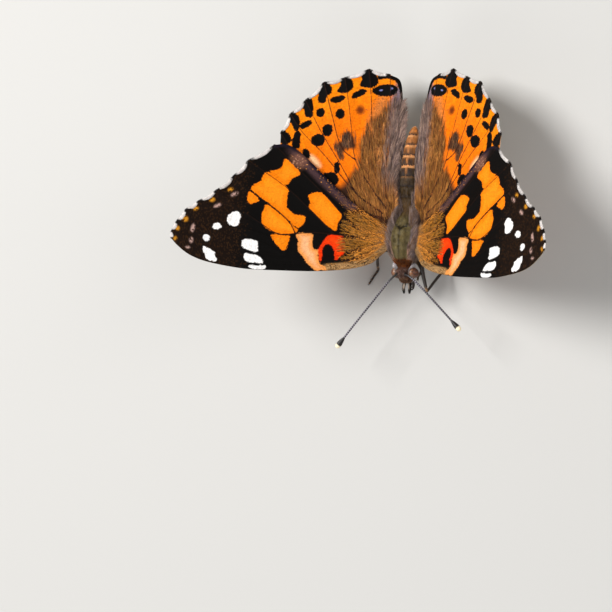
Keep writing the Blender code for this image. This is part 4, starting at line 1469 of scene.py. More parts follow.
    def abdomen_tint(self, y: Array, angle: Array) -> Array:
        """Colour of the abdomen: brown boxes, a tan middle line, pale ring edges and a tan tail.

        Args:
            y: Places along the body.
            angle: Angles round it.

        Returns:
            Linear colours.
        """
        rise, side = np.sin(angle), np.abs(np.cos(angle))
        along, phase = self.rings_at(y)
        tail = smoothstep(0.4, 0.9, along)
        boxes = smoothstep(0.08, 0.2, side) * (1.0 - smoothstep(0.5, 0.64, side))
        boxes = boxes * smoothstep(0.14, 0.3, phase) * (1.0 - smoothstep(0.56, 0.72, phase))
        middle = (1.0 - smoothstep(0.06, 0.16, side)) * smoothstep(0.3, 0.5, along)
        return painted(
            dyed("483418", len(y)),
            ("E48C3E", tail * 0.9),
            ("3A2418", boxes * smoothstep(0.25, 0.4, along) * (1.0 - 0.85 * tail)),
            ("D08444", middle * 0.8),
            ("FFB06C", smoothstep(0.74, 0.86, phase) * smoothstep(0.32, 0.5, along)),
            ("2A1C16", (1.0 - smoothstep(0.05, 0.3, phase)) * smoothstep(0.2, 0.6, rise)),
            ("98806E", (1.0 - smoothstep(0.25, 0.6, rise)) * (1.0 - 0.6 * tail)),
            ("CDB896", 1.0 - smoothstep(-0.5, -0.1, rise)))

    def tint(self, y: Array, angle: Array) -> Array:
        """Colour of the skin and its coat."""
        return blend(self.thorax_tint(y, angle), self.abdomen_tint(y, angle), smoothstep(4.0, 6.0, y))

    def build(self, material: Material) -> None:
        """Make the skin.

        Args:
            material: Its finish.
        """
        fore, aft = np.arange(self.front, self.waist, 0.07), np.arange(self.waist, self.rear, 0.06)
        stations = np.concatenate([fore, aft])
        turns = np.linspace(0.0, 2 * np.pi, 73)
        y, angle = (grid.ravel() for grid in np.meshgrid(stations, turns, indexing="ij"))
        points = self.spot(y, angle)
        index = np.arange(len(y)).reshape(len(stations), len(turns))
        first, last = index[0], index[-1]
        tips = np.full((2, len(turns) - 1), [[len(y)], [len(y) + 1]])
        faces = np.vstack([quads(index[:, :-1], index[:, 1:]),
                           np.stack([first[:-1], first[1:], tips[0]], axis=1),
                           np.stack([last[1:], last[:-1], tips[1]], axis=1)])
        points = np.vstack([points, points[first].mean(axis=0), points[last].mean(axis=0)])
        y, angle = np.append(y, [y[0], y[-1]]), np.append(angle, [np.pi, np.pi])
        # The skin is painted darker than the coat over it, as painted shade under the hair, so that the
        # hairs stand out
        net = Net(points, faces, self.chart(y, angle), colours={"tint": self.tint(y, angle) * 0.6})
        net.build("body_skin", material, "thorax_hair", ("head", "thorax", "abdomen"))


Lengths = Callable[[Array, Array], Array]
HairTints = Callable[[Array, Random], Array]


@dataclass(frozen=True)
class BodyHair:
    """One patch of hair on the body, between two places along it, lying towards the tail.

    The arc gives the angles between which it grows. The run is pushed onto the hairs' lie, and its
    first part is away from the middle plane. Without tints the hair takes the skin's own colours.
    """

    name: str
    count: int
    span: Pair
    length: float | Lengths
    lift: float
    slot: str = "thorax_hair"
    arc: Pair = (0.0, 2 * math.pi)
    width: float = 0.06
    tints: tuple[str, ...] = ()
    run: Triple = (0.0, 0.0, 0.0)


@dataclass(frozen=True)
class WingHair:
    """One patch of hair on each wing of a pair, over a region of the wing's plan."""

    name: str
    wing: Wing
    region: Points
    tries: int
    direction: Callable[[Array], Array]
    left_length: Pair
    right_length: Pair
    lift: float
    tints: HairTints
    width: float


def hindwing_lie(spots: Array) -> Array:
    """Direction of the hindwing's hair, back along the inner margin and fanning out.

    Args:
        spots: Plan points.

    Returns:
        Plan directions.
    """
    u, v = spots[:, 0], spots[:, 1]
    fan = 0.05 + 0.09 * (u - 2.6) * np.exp(-np.maximum(0.0, v - 3.0) / 6.0)
    inward = -0.3 * (1.0 - smoothstep(2.0, 3.4, u)) * smoothstep(3.0, 8.0, v)
    return np.stack([fan + inward, np.ones(len(spots))], axis=1)


def edge_lie(spots: Array) -> Array:
    """Return the direction of the hindwing's edge hair, which lies over onto the body."""
    return np.tile([-0.75, 0.75], (len(spots), 1))


def forewing_lie(spots: Array) -> Array:
    """Return the direction of the forewing's hair, out from the root."""
    return spots - np.array([0.5, -1.2])


def hindwing_hair_tint(spots: Array, rng: Random) -> Array:
    """Colour of the hindwing's hair: grey lilac along the body, then brown and orange brown.

    Args:
        spots: Plan points.
        rng: Random numbers.

    Returns:
        Colours.
    """
    u, v = spots[:, 0], spots[:, 1]
    pick = rng.uniform(0.0, 1.0, len(spots))
    brown = painted(dyed("B06C34", len(spots)), ("CE8C42", pick > 0.6), ("6A4426", pick < 0.25))
    grey = painted(dyed("6E5A5C", len(spots)), ("BE9E8A", pick))
    inner = 1.0 - smoothstep(3.0, 4.4, u + rng.normal(0.0, 0.35, len(spots)))
    return blend(brown, grey, inner * smoothstep(4.0, 8.0, v))


def brush_tint(spots: Array, rng: Random) -> Array:
    """Return the colours of the loose brown hair over the hindwing's brown patch."""
    return picked(("5A3A26", "7A5A44", "3C2416", "A86A36"), len(spots), rng)


def forewing_hair_tint(spots: Array, rng: Random) -> Array:
    """Colour of the forewing's base hair: golden brown, darker on the veins, paler at the root.

    Args:
        spots: Plan points.
        rng: Random numbers.

    Returns:
        Colours.
    """
    pick = rng.uniform(0.0, 1.0, len(spots))
    vein, _ = FOREWING.vein_gap(spots)
    return painted(
        dyed("E89A36", len(spots)),
        ("38220E", pick < 0.24 + 0.6 * (vein < 0.22)),
        ("A87C44", pick > 0.8),
        ("9C8468", (1.0 - smoothstep(2.6, 4.6, spots[:, 0])) * 0.7))


def thorax_hair_length(y: Array, angle: Array) -> Array:
    """Return the length of the thorax's hair, longer on the sides and below than on the back."""
    return 0.62 + 0.5 * (1 - np.clip(np.sin(angle), 0, 1))


def abdomen_hair_length(y: Array, angle: Array) -> Array:
    """Return the length of the abdomen's hair, shorter towards the tail."""
    return 0.62 - 0.34 * smoothstep(4.0, 8.0, y)


BODY_HAIR = [
    BodyHair("thorax_coat", 12500, (-4.0, 3.8), thorax_hair_length, 0.38,
             arc=(math.pi - 0.75, 2 * math.pi + 0.75)),
    BodyHair("thorax_disc", 7500, (-4.1, 3.8), 0.36, 0.17, arc=(0.7, math.pi - 0.7), width=0.065),
    BodyHair("collar", 1800, (-4.75, -3.95), 0.75, 0.7, arc=(0.35, math.pi - 0.35),
             tints=("5E2A0A", "A8581A", "34190A", "341C10", "8A5A34")),
    BodyHair("head_coat", 3600, (-6.35, -4.3), 0.34, 0.6, "head_hair", width=0.05),
    BodyHair("crown", 900, (-6.1, -5.0), 0.5, 0.6, "head_hair", (0.9, math.pi - 0.9), 0.05,
             ("5C3A2E", "8E6A58", "34201A", "A88A7E"), (0.2, -1.2, 0.2)),
    BodyHair("face_tuft", 2400, (-6.5, -5.75), 0.46, 0.4, "head_hair", width=0.045,
             tints=("54301E", "7E5236", "2E1A12", "A88468"), run=(0.0, -2.0, -0.9)),
    BodyHair("abdomen_coat", 11000, (3.4, 15.9), abdomen_hair_length, 0.2, "abdomen_scales", width=0.08),
]
LILAC_HAIR = ("9A8684", "B49E92", "7A6662", "927050")
TAN_HAIR = ("B88C74", "C4A08A", "7C5A48", "9A7C72")
# Patches that grow on each side, with arcs for the left
SIDE_HAIR = [
    BodyHair("shoulder", 1500, (-3.6, 2.4), 1.5, 0.45, arc=(0.1, 0.85), tints=LILAC_HAIR,
             run=(0.75, 0.15, 0.3)),
    BodyHair("tegula", 1100, (-4.5, -2.0), 1.0, 0.45, arc=(0.2, 0.95), tints=TAN_HAIR,
             run=(0.25, 0.5, 0.2)),
    BodyHair("flank", 1500, (1.0, 4.6), 2.1, 0.45, arc=(0.2, 1.0), tints=LILAC_HAIR,
             run=(0.35, 0.5, 0.3)),
    BodyHair("waist", 3200, (3.6, 12.5), 1.7, 0.45, arc=(0.0, 0.75), tints=LILAC_HAIR,
             run=(0.5, 0.3, 0.15)),
]
# The left hindwing's edge hair is shorter, so that the abdomen shows beside it
WING_HAIR = [
    WingHair("brush", HINDWING, [
        (8.2, 13.6), (8.3, 12.0), (9.2, 11.2), (10.3, 9.6), (11.1, 10.6), (11.2, 12.2), (10.4, 13.0),
        (9.6, 13.8)],
        2400, hindwing_lie, (0.5, 1.3), (0.5, 1.3), 0.05, brush_tint, 0.05),
    WingHair("edge_hair", HINDWING, [
        (2.3, 4.0), (2.7, 7.0), (2.5, 10.0), (2.25, 13.0), (2.1, 16.5), (2.4, 19.0), (2.1, 19.2),
        (1.55, 16.5), (1.7, 13.0), (2.0, 10.0), (2.1, 7.0), (1.85, 4.0)],
        22000, edge_lie, (0.2, 0.5), (0.6, 1.3), 0.02, hindwing_hair_tint, 0.055),
    WingHair("hair", HINDWING, [
        (1.9, 3.4), (3.2, 1.9), (6.0, 2.2), (8.6, 4.6), (8.3, 7.0), (7.2, 9.4), (7.4, 12.6), (6.2, 15.2),
        (4.8, 16.8), (3.5, 18.6), (2.5, 18.9), (1.7, 17.0), (1.8, 13.0), (2.1, 9.0)],
        15000, hindwing_lie, (1.0, 2.4), (1.0, 2.4), 0.1, hindwing_hair_tint, 0.06),
    WingHair("hair", FOREWING, [
        (2.4, 0.9), (2.3, -2.0), (4.6, -4.0), (8.0, -4.8), (9.6, -3.4), (9.4, 0.0), (8.4, 2.6), (5.0, 1.9)],
        5200, forewing_lie, (0.35, 0.9), (0.35, 0.9), 0.2, forewing_hair_tint, 0.05),
]


@dataclass
class Coat:
    """Grows hair over the body skin and the wing bases."""

    skin: BodySkin
    material: Material
    seed: int = 11

    def locks(self, first: Array, second: Array, size: Pair, rng: Random) -> tuple[Array, Array]:
        """Gather hairs into locks that lean and shade together.

        Args:
            first: Places along one direction.
            second: Places along the other.
            size: A lock's size in each.
            rng: Random numbers.

        Returns:
            A lean for each hair, and a shade.
        """
        cell = np.floor(first / size[0]) * 131 + np.floor(second / size[1]) * 7919
        cell = cell.astype(np.int64) % 4096
        leans, shades = rng.normal(0.0, 1.0, (4096, 3)), rng.uniform(0.72, 1.3, 4096)
        return leans[cell], shades[cell]

    def grow(self, hair: BodyHair) -> None:
        """Grow one patch of hair on the body.

        Args:
            hair: The patch.
        """
        count = hair.count
        rng = np.random.default_rng(self.seed + len(hair.name) + count)
        y = rng.uniform(*hair.span, count)
        angle = rng.uniform(*hair.arc, count)
        roots, normals = self.skin.at(y, angle)
        lie = unit(self.skin.spot(y + 0.25, angle) - roots)
        near_y = y + rng.normal(0, 0.05, count)
        lean, shade = self.locks(near_y, angle + rng.normal(0, 0.03, count), (0.5, 0.22), rng)
        push = np.array(hair.run) * np.stack([np.sign(roots[:, 0]), np.ones(count), np.ones(count)], axis=1)
        lie = lie + normals * (hair.lift * rng.uniform(0.6, 1.4, count))[:, None] + push
        lie = lie + lean * 0.1 + rng.normal(0.0, 0.1, (count, 3))
        length = hair.length(y, angle) if callable(hair.length) else hair.length
        length = length * rng.uniform(0.65, 1.2, count)
        tint = picked(hair.tints, count, rng) if hair.tints else self.skin.tint(y, angle)
        tint = tint * (shade * rng.uniform(0.65, 1.4, count))[:, None]
        place = self.skin.chart(y, angle % (2 * np.pi))
        tufts = Tufts(roots - normals * 0.03, lie, normals, length, hair.width, tint, place,
                      droop=hair.lift * 0.8)
        tufts.net().build(hair.name, self.material, hair.slot)

    def spread(self, hair: WingHair, side: Side) -> None:
        """Grow one patch of hair on a wing, thinner towards the patch's edge.

        Args:
            hair: The patch.
            side: Side of the body.
        """
        wing = hair.wing
        rng = np.random.default_rng(self.seed + hair.tries)
        path = spline(hair.region, 0.3, closed=True)
        spots = rng.uniform(path.min(axis=0), path.max(axis=0), (hair.tries, 2))
        spots = spots[inside(spots, path)]
        depth, _ = line_distance(spots, path, closed=True)
        spots = spots[rng.uniform(0.0, 1.0, len(spots)) < 0.25 + 0.75 * smoothstep(0.0, 1.6, depth)]
        count = len(spots)
        lean, shade = self.locks(spots[:, 0], spots[:, 1], (0.35, 1.4), rng)
        run = unit(hair.direction(spots)) + rng.normal(0.0, 0.07, spots.shape) + lean[:, :2] * 0.09
        roots = wing.surface(spots, side)
        lie = unit(wing.surface(spots + run * 0.5, side) - roots)
        upward = wing.upward(side)
        lie = lie + upward * (hair.lift * rng.uniform(0.3, 1.6, count))[:, None]
        length = rng.uniform(*(hair.left_length if side is Side.LEFT else hair.right_length), count)
        tint = hair.tints(spots, rng) * (shade * rng.uniform(0.6, 1.4, count))[:, None]
        tufts = Tufts(roots + upward * 0.03, lie, np.tile(upward, (count, 1)), length, hair.width, tint,
                      (spots + 8.0) / 45.0, droop=hair.lift * 0.75)
        name = "_".join((wing.kind, side.label, hair.name))
        tufts.net().build(name, self.material, wing.kind + "_scales")

    def build(self) -> None:
        """Grow every patch of the coat."""
        for hair in BODY_HAIR:
            self.grow(hair)
        for side in Side:
            for hair in SIDE_HAIR:
                low, high = hair.arc
                arc = hair.arc if side is Side.LEFT else (math.pi - high, math.pi - low)
                self.grow(replace(hair, name=hair.name + "_hair_" + side.label, arc=arc))
        for side in Side:
            for hair in WING_HAIR:
                self.spread(hair, side)


@dataclass
class Feelers:
    """The two ringed, clubbed feelers."""

    paths: dict[str, Points] = field(default_factory=lambda: {
        "left": [(0.66, -5.6, -0.45), (0.85, -5.8, -0.15), (2.0, -6.3, 0.0), (4.6, -8.4, -0.2),
                 (7.4, -10.9, -0.6), (10.2, -13.5, -1.2)],
        "right": [(0.66, -5.65, -0.45), (0.8, -5.9, -0.15), (1.7, -6.9, 0.0), (4.4, -10.1, -0.5),
                  (7.2, -13.5, -0.9), (9.9, -16.9, -1.3)]})
    step: float = 0.045
    shaft: float = 0.14
    base: float = 0.09
    club: float = 0.4
    club_length: float = 2.1
    segment: float = 0.36

    def build(self, material: Material) -> None:
        """Make both feelers.

        Args:
            material: Their finish.
        """
        for side in Side:
            path = spline([(side.value * x, y, z) for x, y, z in self.paths[side.label]], self.step)
            left = np.linalg.norm(path - path[-1], axis=1)
            swell = np.sin(np.pi * np.clip(left / self.club_length, 0.0, 1.0) ** 0.62)
            lengths = np.arange(len(path)) * self.step
            phase = (lengths / self.segment) % 1.0
            knots = 1.0 + 0.1 * np.sin(np.pi * phase)
            radii = self.shaft * knots + (self.club - self.shaft) * np.maximum(0.0, swell)
            radii *= np.clip(left / 0.25, 0.0, 1.0) ** 0.5 * 0.97 + 0.03
            radii += np.exp(-lengths / 0.25) * self.base
            net, along = tube(path, radii, 14, (0.02, 0.02, 0.9, 0.4))
            left = along.max() - along
            off_club = 1.0 - smoothstep(self.club_length + 0.2, self.club_length - 0.3, left)
            ring = ((along / self.segment) % 1.0 < 0.26) * off_club * smoothstep(0.8, 2.4, along)
            net.colours["tint"] = painted(
                dyed("17110E", len(along)), ("B4AAB8", ring * 0.7), ("FFF0CC", smoothstep(0.75, 0.55, left)))
            net.build("feeler_" + side.label, material, "antenna", ("antenna_" + side.label,))


@dataclass
class Eyes:
    """The two round compound eyes, mottled brown, with the pale scales and white tuft round them."""

    centre: Triple = (1.32, -5.3, -1.5)
    radii: Triple = (0.84, 0.82, 0.94)
    rows: int = 40
    turns: int = 60
    rim_centre: Triple = (0.98, -5.3, -1.5)
    rim_radii: Triple = (0.0, 0.84, 0.95)
    rim_count: int = 1300

    def build(self, material: Material, hair: Material) -> None:
        """Make both eyes and then both rims.

        Args:
            material: Finish of the eyes.
            hair: Finish of the rims' scales.
        """
        for side in Side:
            self.eye(side, material)
        rng = np.random.default_rng(21)
        for side in Side:
            self.rim(side, hair, rng)

    def eye(self, side: Side, material: Material) -> None:
        """Make one eye.

        Args:
            side: Side of the body.
            material: Its finish.
        """
        polar = np.linspace(0.0, np.pi, self.rows)
        around = np.linspace(0.0, 2 * np.pi, self.turns, endpoint=False)
        p, a = (grid.ravel() for grid in np.meshgrid(polar, around, indexing="ij"))
        ball = np.stack([np.cos(p), np.sin(p) * np.cos(a), np.sin(p) * np.sin(a)], axis=1)
        points = ball * np.array(self.radii) + np.array(self.centre)
        points[:, 0] *= side.value
        index = np.arange(self.rows * self.turns).reshape(self.rows, self.turns)
        faces = quads(index, np.roll(index, -1, axis=1))
        x, y, z = points.T
        wave = np.sin(y * 12.0 + 1.6 * np.sin(z * 7.0)) * np.cos(z * 11.0 + 1.5 * np.sin(np.abs(x) * 9.0))
        tint = painted(
            dyed("76442A", len(points)),
            ("2A160E", smoothstep(-0.3, 0.35, wave) * 0.85),
            ("A8805C", smoothstep(1.1, 1.5, p) * (1.0 - smoothstep(1.5, 1.8, p)) * 0.5))
        bake = np.stack([0.02 + 0.4 * p / np.pi, 0.02 + 0.9 * a / (2 * np.pi)], axis=1)
        net = Net(points, faces if side is Side.RIGHT else faces[:, ::-1], bake, colours={"tint": tint})
        net.build("eye_" + side.label + "_facets", material, "eye", ("eye_" + side.label,))

    def rim(self, side: Side, material: Material, rng: Random) -> None:
        """Set pale scales round one eye, long and white at its back corner.

        Args:
            side: Side of the body.
            material: Their finish.
            rng: Random numbers.
        """
        count = self.rim_count
        turn = rng.uniform(0.0, 2 * np.pi, count)
        out = np.stack([np.zeros(count), np.cos(turn), np.sin(turn)], axis=1)
        mirror = np.array([side.value, 1.0, 1.0])
        ring = out * np.array(self.rim_radii) * rng.uniform(0.86, 1.0, count)[:, None]
        roots = np.array(self.rim_centre) * mirror + ring
        lie = out * 0.5 + np.array([side.value, 0.0, 0.0]) * 0.9 + rng.normal(0.0, 0.15, (count, 3))
        lie[:, 1] += 0.35
        rear = smoothstep(0.1, 0.8, out[:, 1]) * smoothstep(-0.7, 0.2, out[:, 2])
        white = np.clip(rear + rng.normal(0.0, 0.3, count), 0.0, 1.0)
        tint = painted(dyed("6A4E3C", count), ("F4EEF0", white))
        length = (0.22 + 0.7 * rear) * rng.uniform(0.7, 1.2, count)
        place = np.stack([0.07 + 0.02 * np.cos(turn), 0.5 + 0.06 * np.sin(turn)], axis=1)
        tufts = Tufts(roots, lie, out, length, 0.055, tint, place, droop=0.1, blunt=0.6)
        tufts.net().build("eye_" + side.label + "_rim", material, "head_hair")


@dataclass
class Mouth:
    """The two palps with their bristly scales, and the coiled tongue."""

    palp: Points = field(default_factory=lambda: [
        (0.36, -6.1, -2.45), (0.43, -6.6, -2.5), (0.48, -7.1, -2.5), (0.5, -7.5, -2.55),
        (0.46, -7.95, -2.68)])
    palp_radii: tuple[float, ...] = (0.2, 0.26, 0.25, 0.2, 0.06)
    palp_scales: int = 1500
    tongue_centre: Pair = (-6.72, -3.98)
    tongue_coil: float = 0.82
    tongue_turns: float = 2.4
    tongue_ring: float = 0.16

    def build(self, hair: Material, cuticle: Material) -> None:
        """Make the palps and the tongue.

        Args:
            hair: Finish of the palps' scales.
            cuticle: Finish of the tongue and of the palps' cores.
        """
        rng = np.random.default_rng(5)
        for side in Side:
            self.palps(side, hair, cuticle, rng)
        self.tongue(cuticle)

    def palps(self, side: Side, hair: Material, cuticle: Material, rng: Random) -> None:
        """Make one palp: a core, and scales that are pale outside and below the tip.

        Args:
            side: Side of the body.
            hair: Finish of its scales.
            cuticle: Finish of its core.
            rng: Random numbers.
        """
        path = spline([(side.value * x, y, z) for x, y, z in self.palp], 0.06)
        radii = girths(path, np.linspace(0, 1, len(self.palp_radii)), self.palp_radii)
        core, along = tube(path, radii * 0.8, 14, (0.5, 0.02, 0.2, 0.2))
        core.colours["tint"] = dyed("5A4A3A", len(along))
        core.build("palp_" + side.label + "_core", cuticle, "palp_hair", ("palp_" + side.label,))
        count = self.palp_scales
        at = rng.uniform(0.0, 0.97, count) * (len(path) - 1)
        turn = rng.uniform(0.0, 2 * np.pi, count)
        low = at.astype(int)
        span = path[low + 1] - path[low]
        middle = path[low] + span * (at - low)[:, None]
        normal = np.stack([np.cos(turn), np.zeros(count), np.sin(turn)], axis=1)
        size = np.interp(at, np.arange(len(path)), radii)
        roots = middle + normal * (size * 0.75)[:, None]
        lie = unit(span) + normal * 0.35 + rng.normal(0.0, 0.12, (count, 3))
        pale = smoothstep(0.6, 0.95, normal[:, 2] * 0.9 - normal[:, 0] * side.value * 0.44)
        tint = painted(
            dyed("1E1612", count), ("DCC8B4", pale), ("18120F", smoothstep(0.5, 0.8, at / len(path))))
        tint *= rng.uniform(0.7, 1.3, count)[:, None]
        place = np.stack([0.05 + 0.3 * at / len(path), 0.05 + 0.3 * turn / (2 * np.pi)], axis=1)
        tufts = Tufts(roots, lie, normal, rng.uniform(0.22, 0.4, count), 0.05, tint, place, droop=0.25)
        tufts.net().build("palp_" + side.label + "_scales", hair, "palp_hair")

    def tongue(self, cuticle: Material) -> None:
        """Make the tongue: a short stem into a flat coil, ringed.

        Args:
            cuticle: Its finish.
        """
        t = np.linspace(0.0, 1.0, 160)
        angle = np.pi / 2 + 2 * np.pi * self.tongue_turns * t
        radius = self.tongue_coil * (1.0 - 0.8 * t)
        coil = np.stack([0.03 * np.sin(9 * t), self.tongue_centre[0] - radius * np.cos(angle),
                         self.tongue_centre[1] + radius * np.sin(angle)], axis=1)
        stem = spline([(0.0, -6.2, -2.75), (0.0, -6.5, -2.95), tuple(coil[0])], 0.05)[:-1]
        path = np.vstack([stem, coil])
        net, along = tube(path, 0.13 - 0.05 * np.linspace(0, 1, len(path)), 12, (0.02, 0.5, 0.9, 0.2))
        ring = (along / self.tongue_ring) % 1.0 < 0.3
        net.colours["tint"] = painted(dyed("2E1C12", len(along)), ("4A3020", ring * 0.5))
        net.build("tongue", cuticle, "leg_scales", ("proboscis",))


@dataclass
class Legs:
    """Four walking legs and two small folded forelegs.

    The walking legs' knees, ankles, heels and toes stand in the frame of the floor, and the hips
    and forelegs in the body's own.
    """

    cuticle: Material
    hair: Material
    walking: dict[str, Points] = field(default_factory=lambda: {
        "midleg_left": [(3.35, -8.1, 5.05), (4.2, -4.3, 0.9), (4.6, -4.0, 0.2), (7.0, -3.2, 0.2)],
        "midleg_right": [(4.9, -2.2, 5.3), (7.2, -4.7, 0.9), (7.5, -5.1, 0.2), (8.9, -7.2, 0.2)],
        "hindleg_left": [(4.6, 5.3, 5.0), (6.9, 10.6, 0.9), (7.0, 11.1, 0.2), (7.7, 13.6, 0.2)],
        "hindleg_right": [(4.3, 5.6, 5.0), (6.3, 11.0, 0.9), (6.4, 11.5, 0.2), (7.0, 14.0, 0.2)]})
    hips: dict[str, Triple] = field(default_factory=lambda: {
        "midleg": (1.35, -1.9, -2.75), "hindleg": (1.25, 1.5, -2.6)})
    foreleg: Points = field(default_factory=lambda: [
        (1.0, -3.2, -2.6), (1.5, -4.4, -3.6), (1.1, -5.3, -3.75), (0.95, -5.8, -3.85)])
    foreleg_radii: tuple[float, ...] = (0.24, 0.2, 0.07)
    foreleg_hairs: int = 900
    spines: int = 220
    foot_segments: int = 5

    def build(self) -> None:
        """Make all the legs."""
        to_stance = np.array(stance_matrix().inverted() @ body_matrix())
        for name, joints in self.walking.items():
            kind, label = name.split("_")
            mirror = np.array([Side[label.upper()].value, 1, 1])
            hip = to_stance[:3, :3] @ (np.array(self.hips[kind]) * mirror) + to_stance[:3, 3]
            self.leg(name, [hip, *(np.array(joint) * mirror for joint in joints)])
        for side in Side:
            self.folded(side)

    def folded(self, side: Side) -> None:
        """Make one small foreleg, with long hair.

        Args:
            side: Side of the body.
        """
        name = "foreleg_" + side.label
        path = spline([(side.value * x, y, z) for x, y, z in self.foreleg], 0.08)
        stops = [0, 0.5, 1]
        net, along = tube(path, girths(path, stops, self.foreleg_radii), 12, (0.05, 0.05, 0.5, 0.2))
        net.colours["tint"] = dyed("6E5A44", len(along))
        net.build(name + "_skin", self.cuticle, "leg_scales", (name,))
        rng = np.random.default_rng(31)
        count = self.foreleg_hairs
        at = rng.integers(0, len(path) - 1, count)
        ahead = unit(path[at + 1] - path[at])
        spin = sideways(ahead, rng)
        size = np.interp(at / len(path), stops, self.foreleg_radii)
        tint = picked(("8A7258", "4A382A"), count, rng)
        tufts = Tufts(path[at] + spin * (size * 0.8)[:, None], ahead + spin * 0.4, spin,
                      rng.uniform(0.25, 0.5, count), 0.045, tint, rng.uniform(0.0, 0.99, (count, 2)),
                      droop=0.15)
        tufts.net().build(name + "_hair", self.hair, "leg_scales")

    def limbs(self, points: list[Array]) -> list[tuple[Array, Array]]:
        """Draw the thigh, the shin and the foot of a walking leg.

        Args:
            points: Hip, knee, ankle, heel and toe.

        Returns:
            The path and radii of each.
        """
        hip, knee, ankle, heel, toe = points
        bow = np.array([0.0, 0.0, 0.25])
        thigh = spline([hip, (hip + knee) / 2 + bow, knee], 0.08)
        shin = spline([knee, (knee + ankle) / 2 + bow * 0.4, ankle], 0.08)
        foot = spline([ankle, heel, (heel + toe) / 2, toe], 0.05)
        phase = (np.linspace(0, 1, len(foot)) * self.foot_segments) % 1.0
        return [(thigh, girths(thigh, [0, 0.35, 0.9, 1], [0.26, 0.33, 0.23, 0.17])),
                (shin, girths(shin, [0, 0.12, 0.85, 1], [0.15, 0.19, 0.21, 0.17])),
                (foot, girths(foot, [0, 0.3, 1], [0.17, 0.16, 0.12]) * (0.85 + 0.25 * phase))]

    def leg(self, name: str, points: list[Array]) -> None:
        """Make one walking leg from its joints, with two claws and short spines.

        Args:
            name: Name of the solid that it stands for.
            points: Hip, knee, ankle, heel and toe.
        """
        limbs = self.limbs(points)
        nets = []
        for row, (path, radii) in enumerate(limbs):
            net, along = tube(path, radii, 14, (0.05, 0.05 + 0.25 * row, 0.8, 0.2))
            along = along / along.max()
            on_foot = row == len(limbs) - 1
            ring = ((along * self.foot_segments) % 1.0 > 0.8) * 0.7 * on_foot
            net.colours["tint"] = painted(
                dyed("241A14", len(along)),
                ("9A7650", smoothstep(0.86, 0.98, along) * (0.3 if on_foot else 0.9)),
                ("7A5A3C", ring))
            nets.append(net)
        heel, toe = points[-2:]
        tip = toe - heel
        tip /= np.linalg.norm(tip)
        across = np.array([-tip[1], tip[0], 0.0])
        for side in (-1, 1):
            bend = toe + tip * 0.18 + across * side * 0.1 + [0, 0, 0.05]
            end = toe + tip * 0.28 + across * side * 0.12 + [0, 0, -0.12]
            claw = spline([toe, bend, end], 0.03)
            net, along = tube(claw, np.linspace(0.05, 0.012, len(claw)), 8, (0.05, 0.9, 0.1, 0.05))
            net.colours["tint"] = dyed("120C08", len(along))
            nets.append(net)
        whole = joined(nets)
        # Nothing reaches below the floor that the feet stand on
        whole.points[:, 2] = np.maximum(whole.points[:, 2], 0.0)
        whole.build(name + "_skin", self.cuticle, "leg_scales", (name,), stance_matrix())
        rng = np.random.default_rng(len(name))
        roots, lies, normals = [], [], []
        for path, radii in limbs:
            low = (rng.uniform(0.02, 0.97, self.spines) * (len(path) - 1)).astype(int)
            ahead = unit(path[low + 1] - path[low])
            spin = sideways(ahead, rng)
            roots.append(path[low] + spin * (radii[low] * 0.9)[:, None])
            lies.append(ahead + spin * 0.45)
            normals.append(spin)
        count = self.spines * len(limbs)
        tint = dyed("3A2C20", count) * rng.uniform(0.5, 2.2, count)[:, None]
        tufts = Tufts(np.vstack(roots), np.vstack(lies), np.vstack(normals),
                      rng.uniform(0.12, 0.26, count), 0.035, tint, rng.uniform(0.0, 0.99, (count, 2)),
                      droop=0.1)
        net = tufts.net()
        net.points[:, 2] = np.maximum(net.points[:, 2], 0.005)
        net.build(name + "_spines", self.hair, "leg_scales", (), stance_matrix())


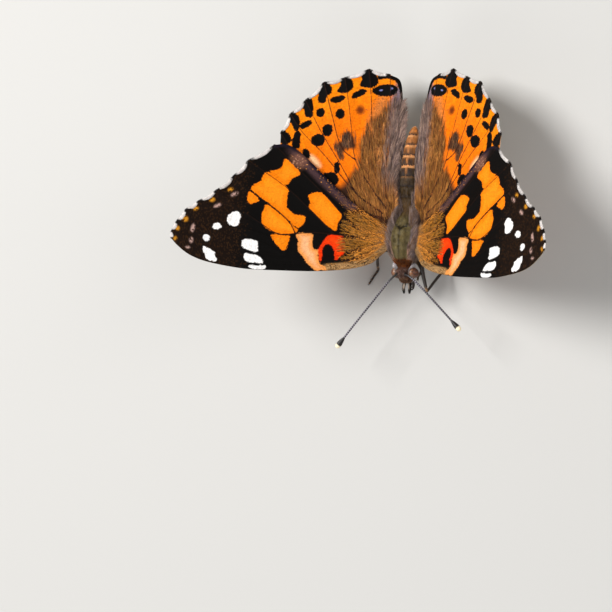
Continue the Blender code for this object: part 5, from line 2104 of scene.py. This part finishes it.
@dataclass(frozen=True)
class Studio:
    """Pale floor, soft lights and the photo's camera."""

    distance: float = 400.0
    lens: float = 161.7
    yaw: float = math.radians(28.4)
    tilt: float = math.radians(8.8)
    roll: float = math.radians(6.35)
    aim: Pair = (-14.3, -10.33)
    floor_reach: float = 3.0
    floor_colour: str = "C6C4C0"
    sky: tuple[float, ...] = (0.95, 0.97, 1.0, 1.0)
    sky_strength: float = 0.27

    def camera(self) -> None:
        """Set the camera where the photo's was, turned with the body."""
        turn = Matrix.Rotation(self.yaw, 3, "Y") @ Matrix.Rotation(self.tilt, 3, "X")
        right, upward, toward = (turn.col[i].copy() for i in range(3))
        c, s = math.cos(self.roll), math.sin(self.roll)
        right, upward = right * c + upward * s, upward * c - right * s
        place = toward * self.distance
        target = right * self.aim[0] + upward * self.aim[1]
        back = (place - target).normalized()
        side = upward.cross(back).normalized()
        spin = Matrix((side, back.cross(side), back)).transposed()
        data = bpy.data.cameras.new("camera")
        data.lens = self.lens
        data.sensor_width = 36.0
        data.clip_start = 0.01
        camera = bpy.data.objects.new("camera", data)
        world = body_matrix()
        turned = world.to_quaternion().to_matrix() @ spin
        camera.matrix_world = Matrix.Translation(world @ place) @ turned.to_4x4()
        bpy.context.scene.collection.objects.link(camera)
        bpy.context.scene.camera = camera

    def light(self, name: str, place: Triple, size: float, power: float) -> None:
        """Add one soft square light that faces the model.

        Args:
            name: Its name.
            place: Where it hangs, in metres.
            size: Width in metres.
            power: Watts.
        """
        data = bpy.data.lights.new(name, "AREA")
        data.shape = "SQUARE"
        data.size = size
        data.energy = power
        lamp = bpy.data.objects.new(name, data)
        lamp.location = place
        lamp.rotation_euler = (Vector((0, 0, 0.01)) - Vector(place)).to_track_quat("-Z", "Y").to_euler()
        bpy.context.scene.collection.objects.link(lamp)

    def floor(self) -> None:
        """Lay a wide floor of matte card, which shows soft shadows and no reflection."""
        mesh = bpy.data.meshes.new("floor")
        reach = self.floor_reach
        corners = [(-reach, -reach, 0), (reach, -reach, 0), (reach, reach, 0), (-reach, reach, 0)]
        mesh.from_pydata(corners, [], [(0, 1, 2, 3)])
        floor = bpy.data.objects.new("floor", mesh)
        bpy.context.scene.collection.objects.link(floor)
        material, _, shader = new_material("matte_card", Roughness=0.9, Specular_IOR_Level=0.1)
        shader.inputs["Base Color"].default_value = (*linear(self.floor_colour), 1.0)
        mesh.materials.append(material)

    def build(self) -> None:
        """Set up everything that isn't the object."""
        # The default transform turns the oranges pale
        bpy.context.scene.view_settings.view_transform = "Standard"
        self.camera()
        self.floor()
        self.light("key", (-0.25, 0.15, 0.45), 0.25, 3.3)
        self.light("fill", (0.45, 0.1, 0.3), 0.4, 1.1)
        self.light("front", (0.05, -0.5, 0.25), 0.35, 0.9)
        world = bpy.data.worlds.new("studio")
        world.use_nodes = True
        backdrop = world.node_tree.nodes["Background"]
        backdrop.inputs["Color"].default_value = self.sky
        backdrop.inputs["Strength"].default_value = self.sky_strength
        bpy.context.scene.world = world


def main() -> None:
    """Build every piece in order; each reports its points and triangles as it is made."""
    scales = WingScales().build("wing_scales")
    hair = TintedHair().build("chitin_hair")
    cuticle = Cuticle().build("scaled_cuticle")
    skin_finish = Cuticle(roughness=0.8).build("body_cuticle")
    eye_finish = Cuticle(roughness=0.34, cell=0.05, relief=0.01).build("compound_eye")
    WingMaker(FOREWING, forewing_ground, forewing_under, scales, hair, "1C0E08").build()
    WingMaker(HINDWING, hindwing_ground, hindwing_under, scales, hair, "2A1610").build()
    skin = BodySkin()
    skin.build(skin_finish)
    Coat(skin, hair).build()
    Feelers().build(cuticle)
    Eyes().build(eye_finish, hair)
    Mouth().build(hair, cuticle)
    Legs(cuticle, hair).build()
    Studio().build()


if __name__ == "__main__":
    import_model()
    main()
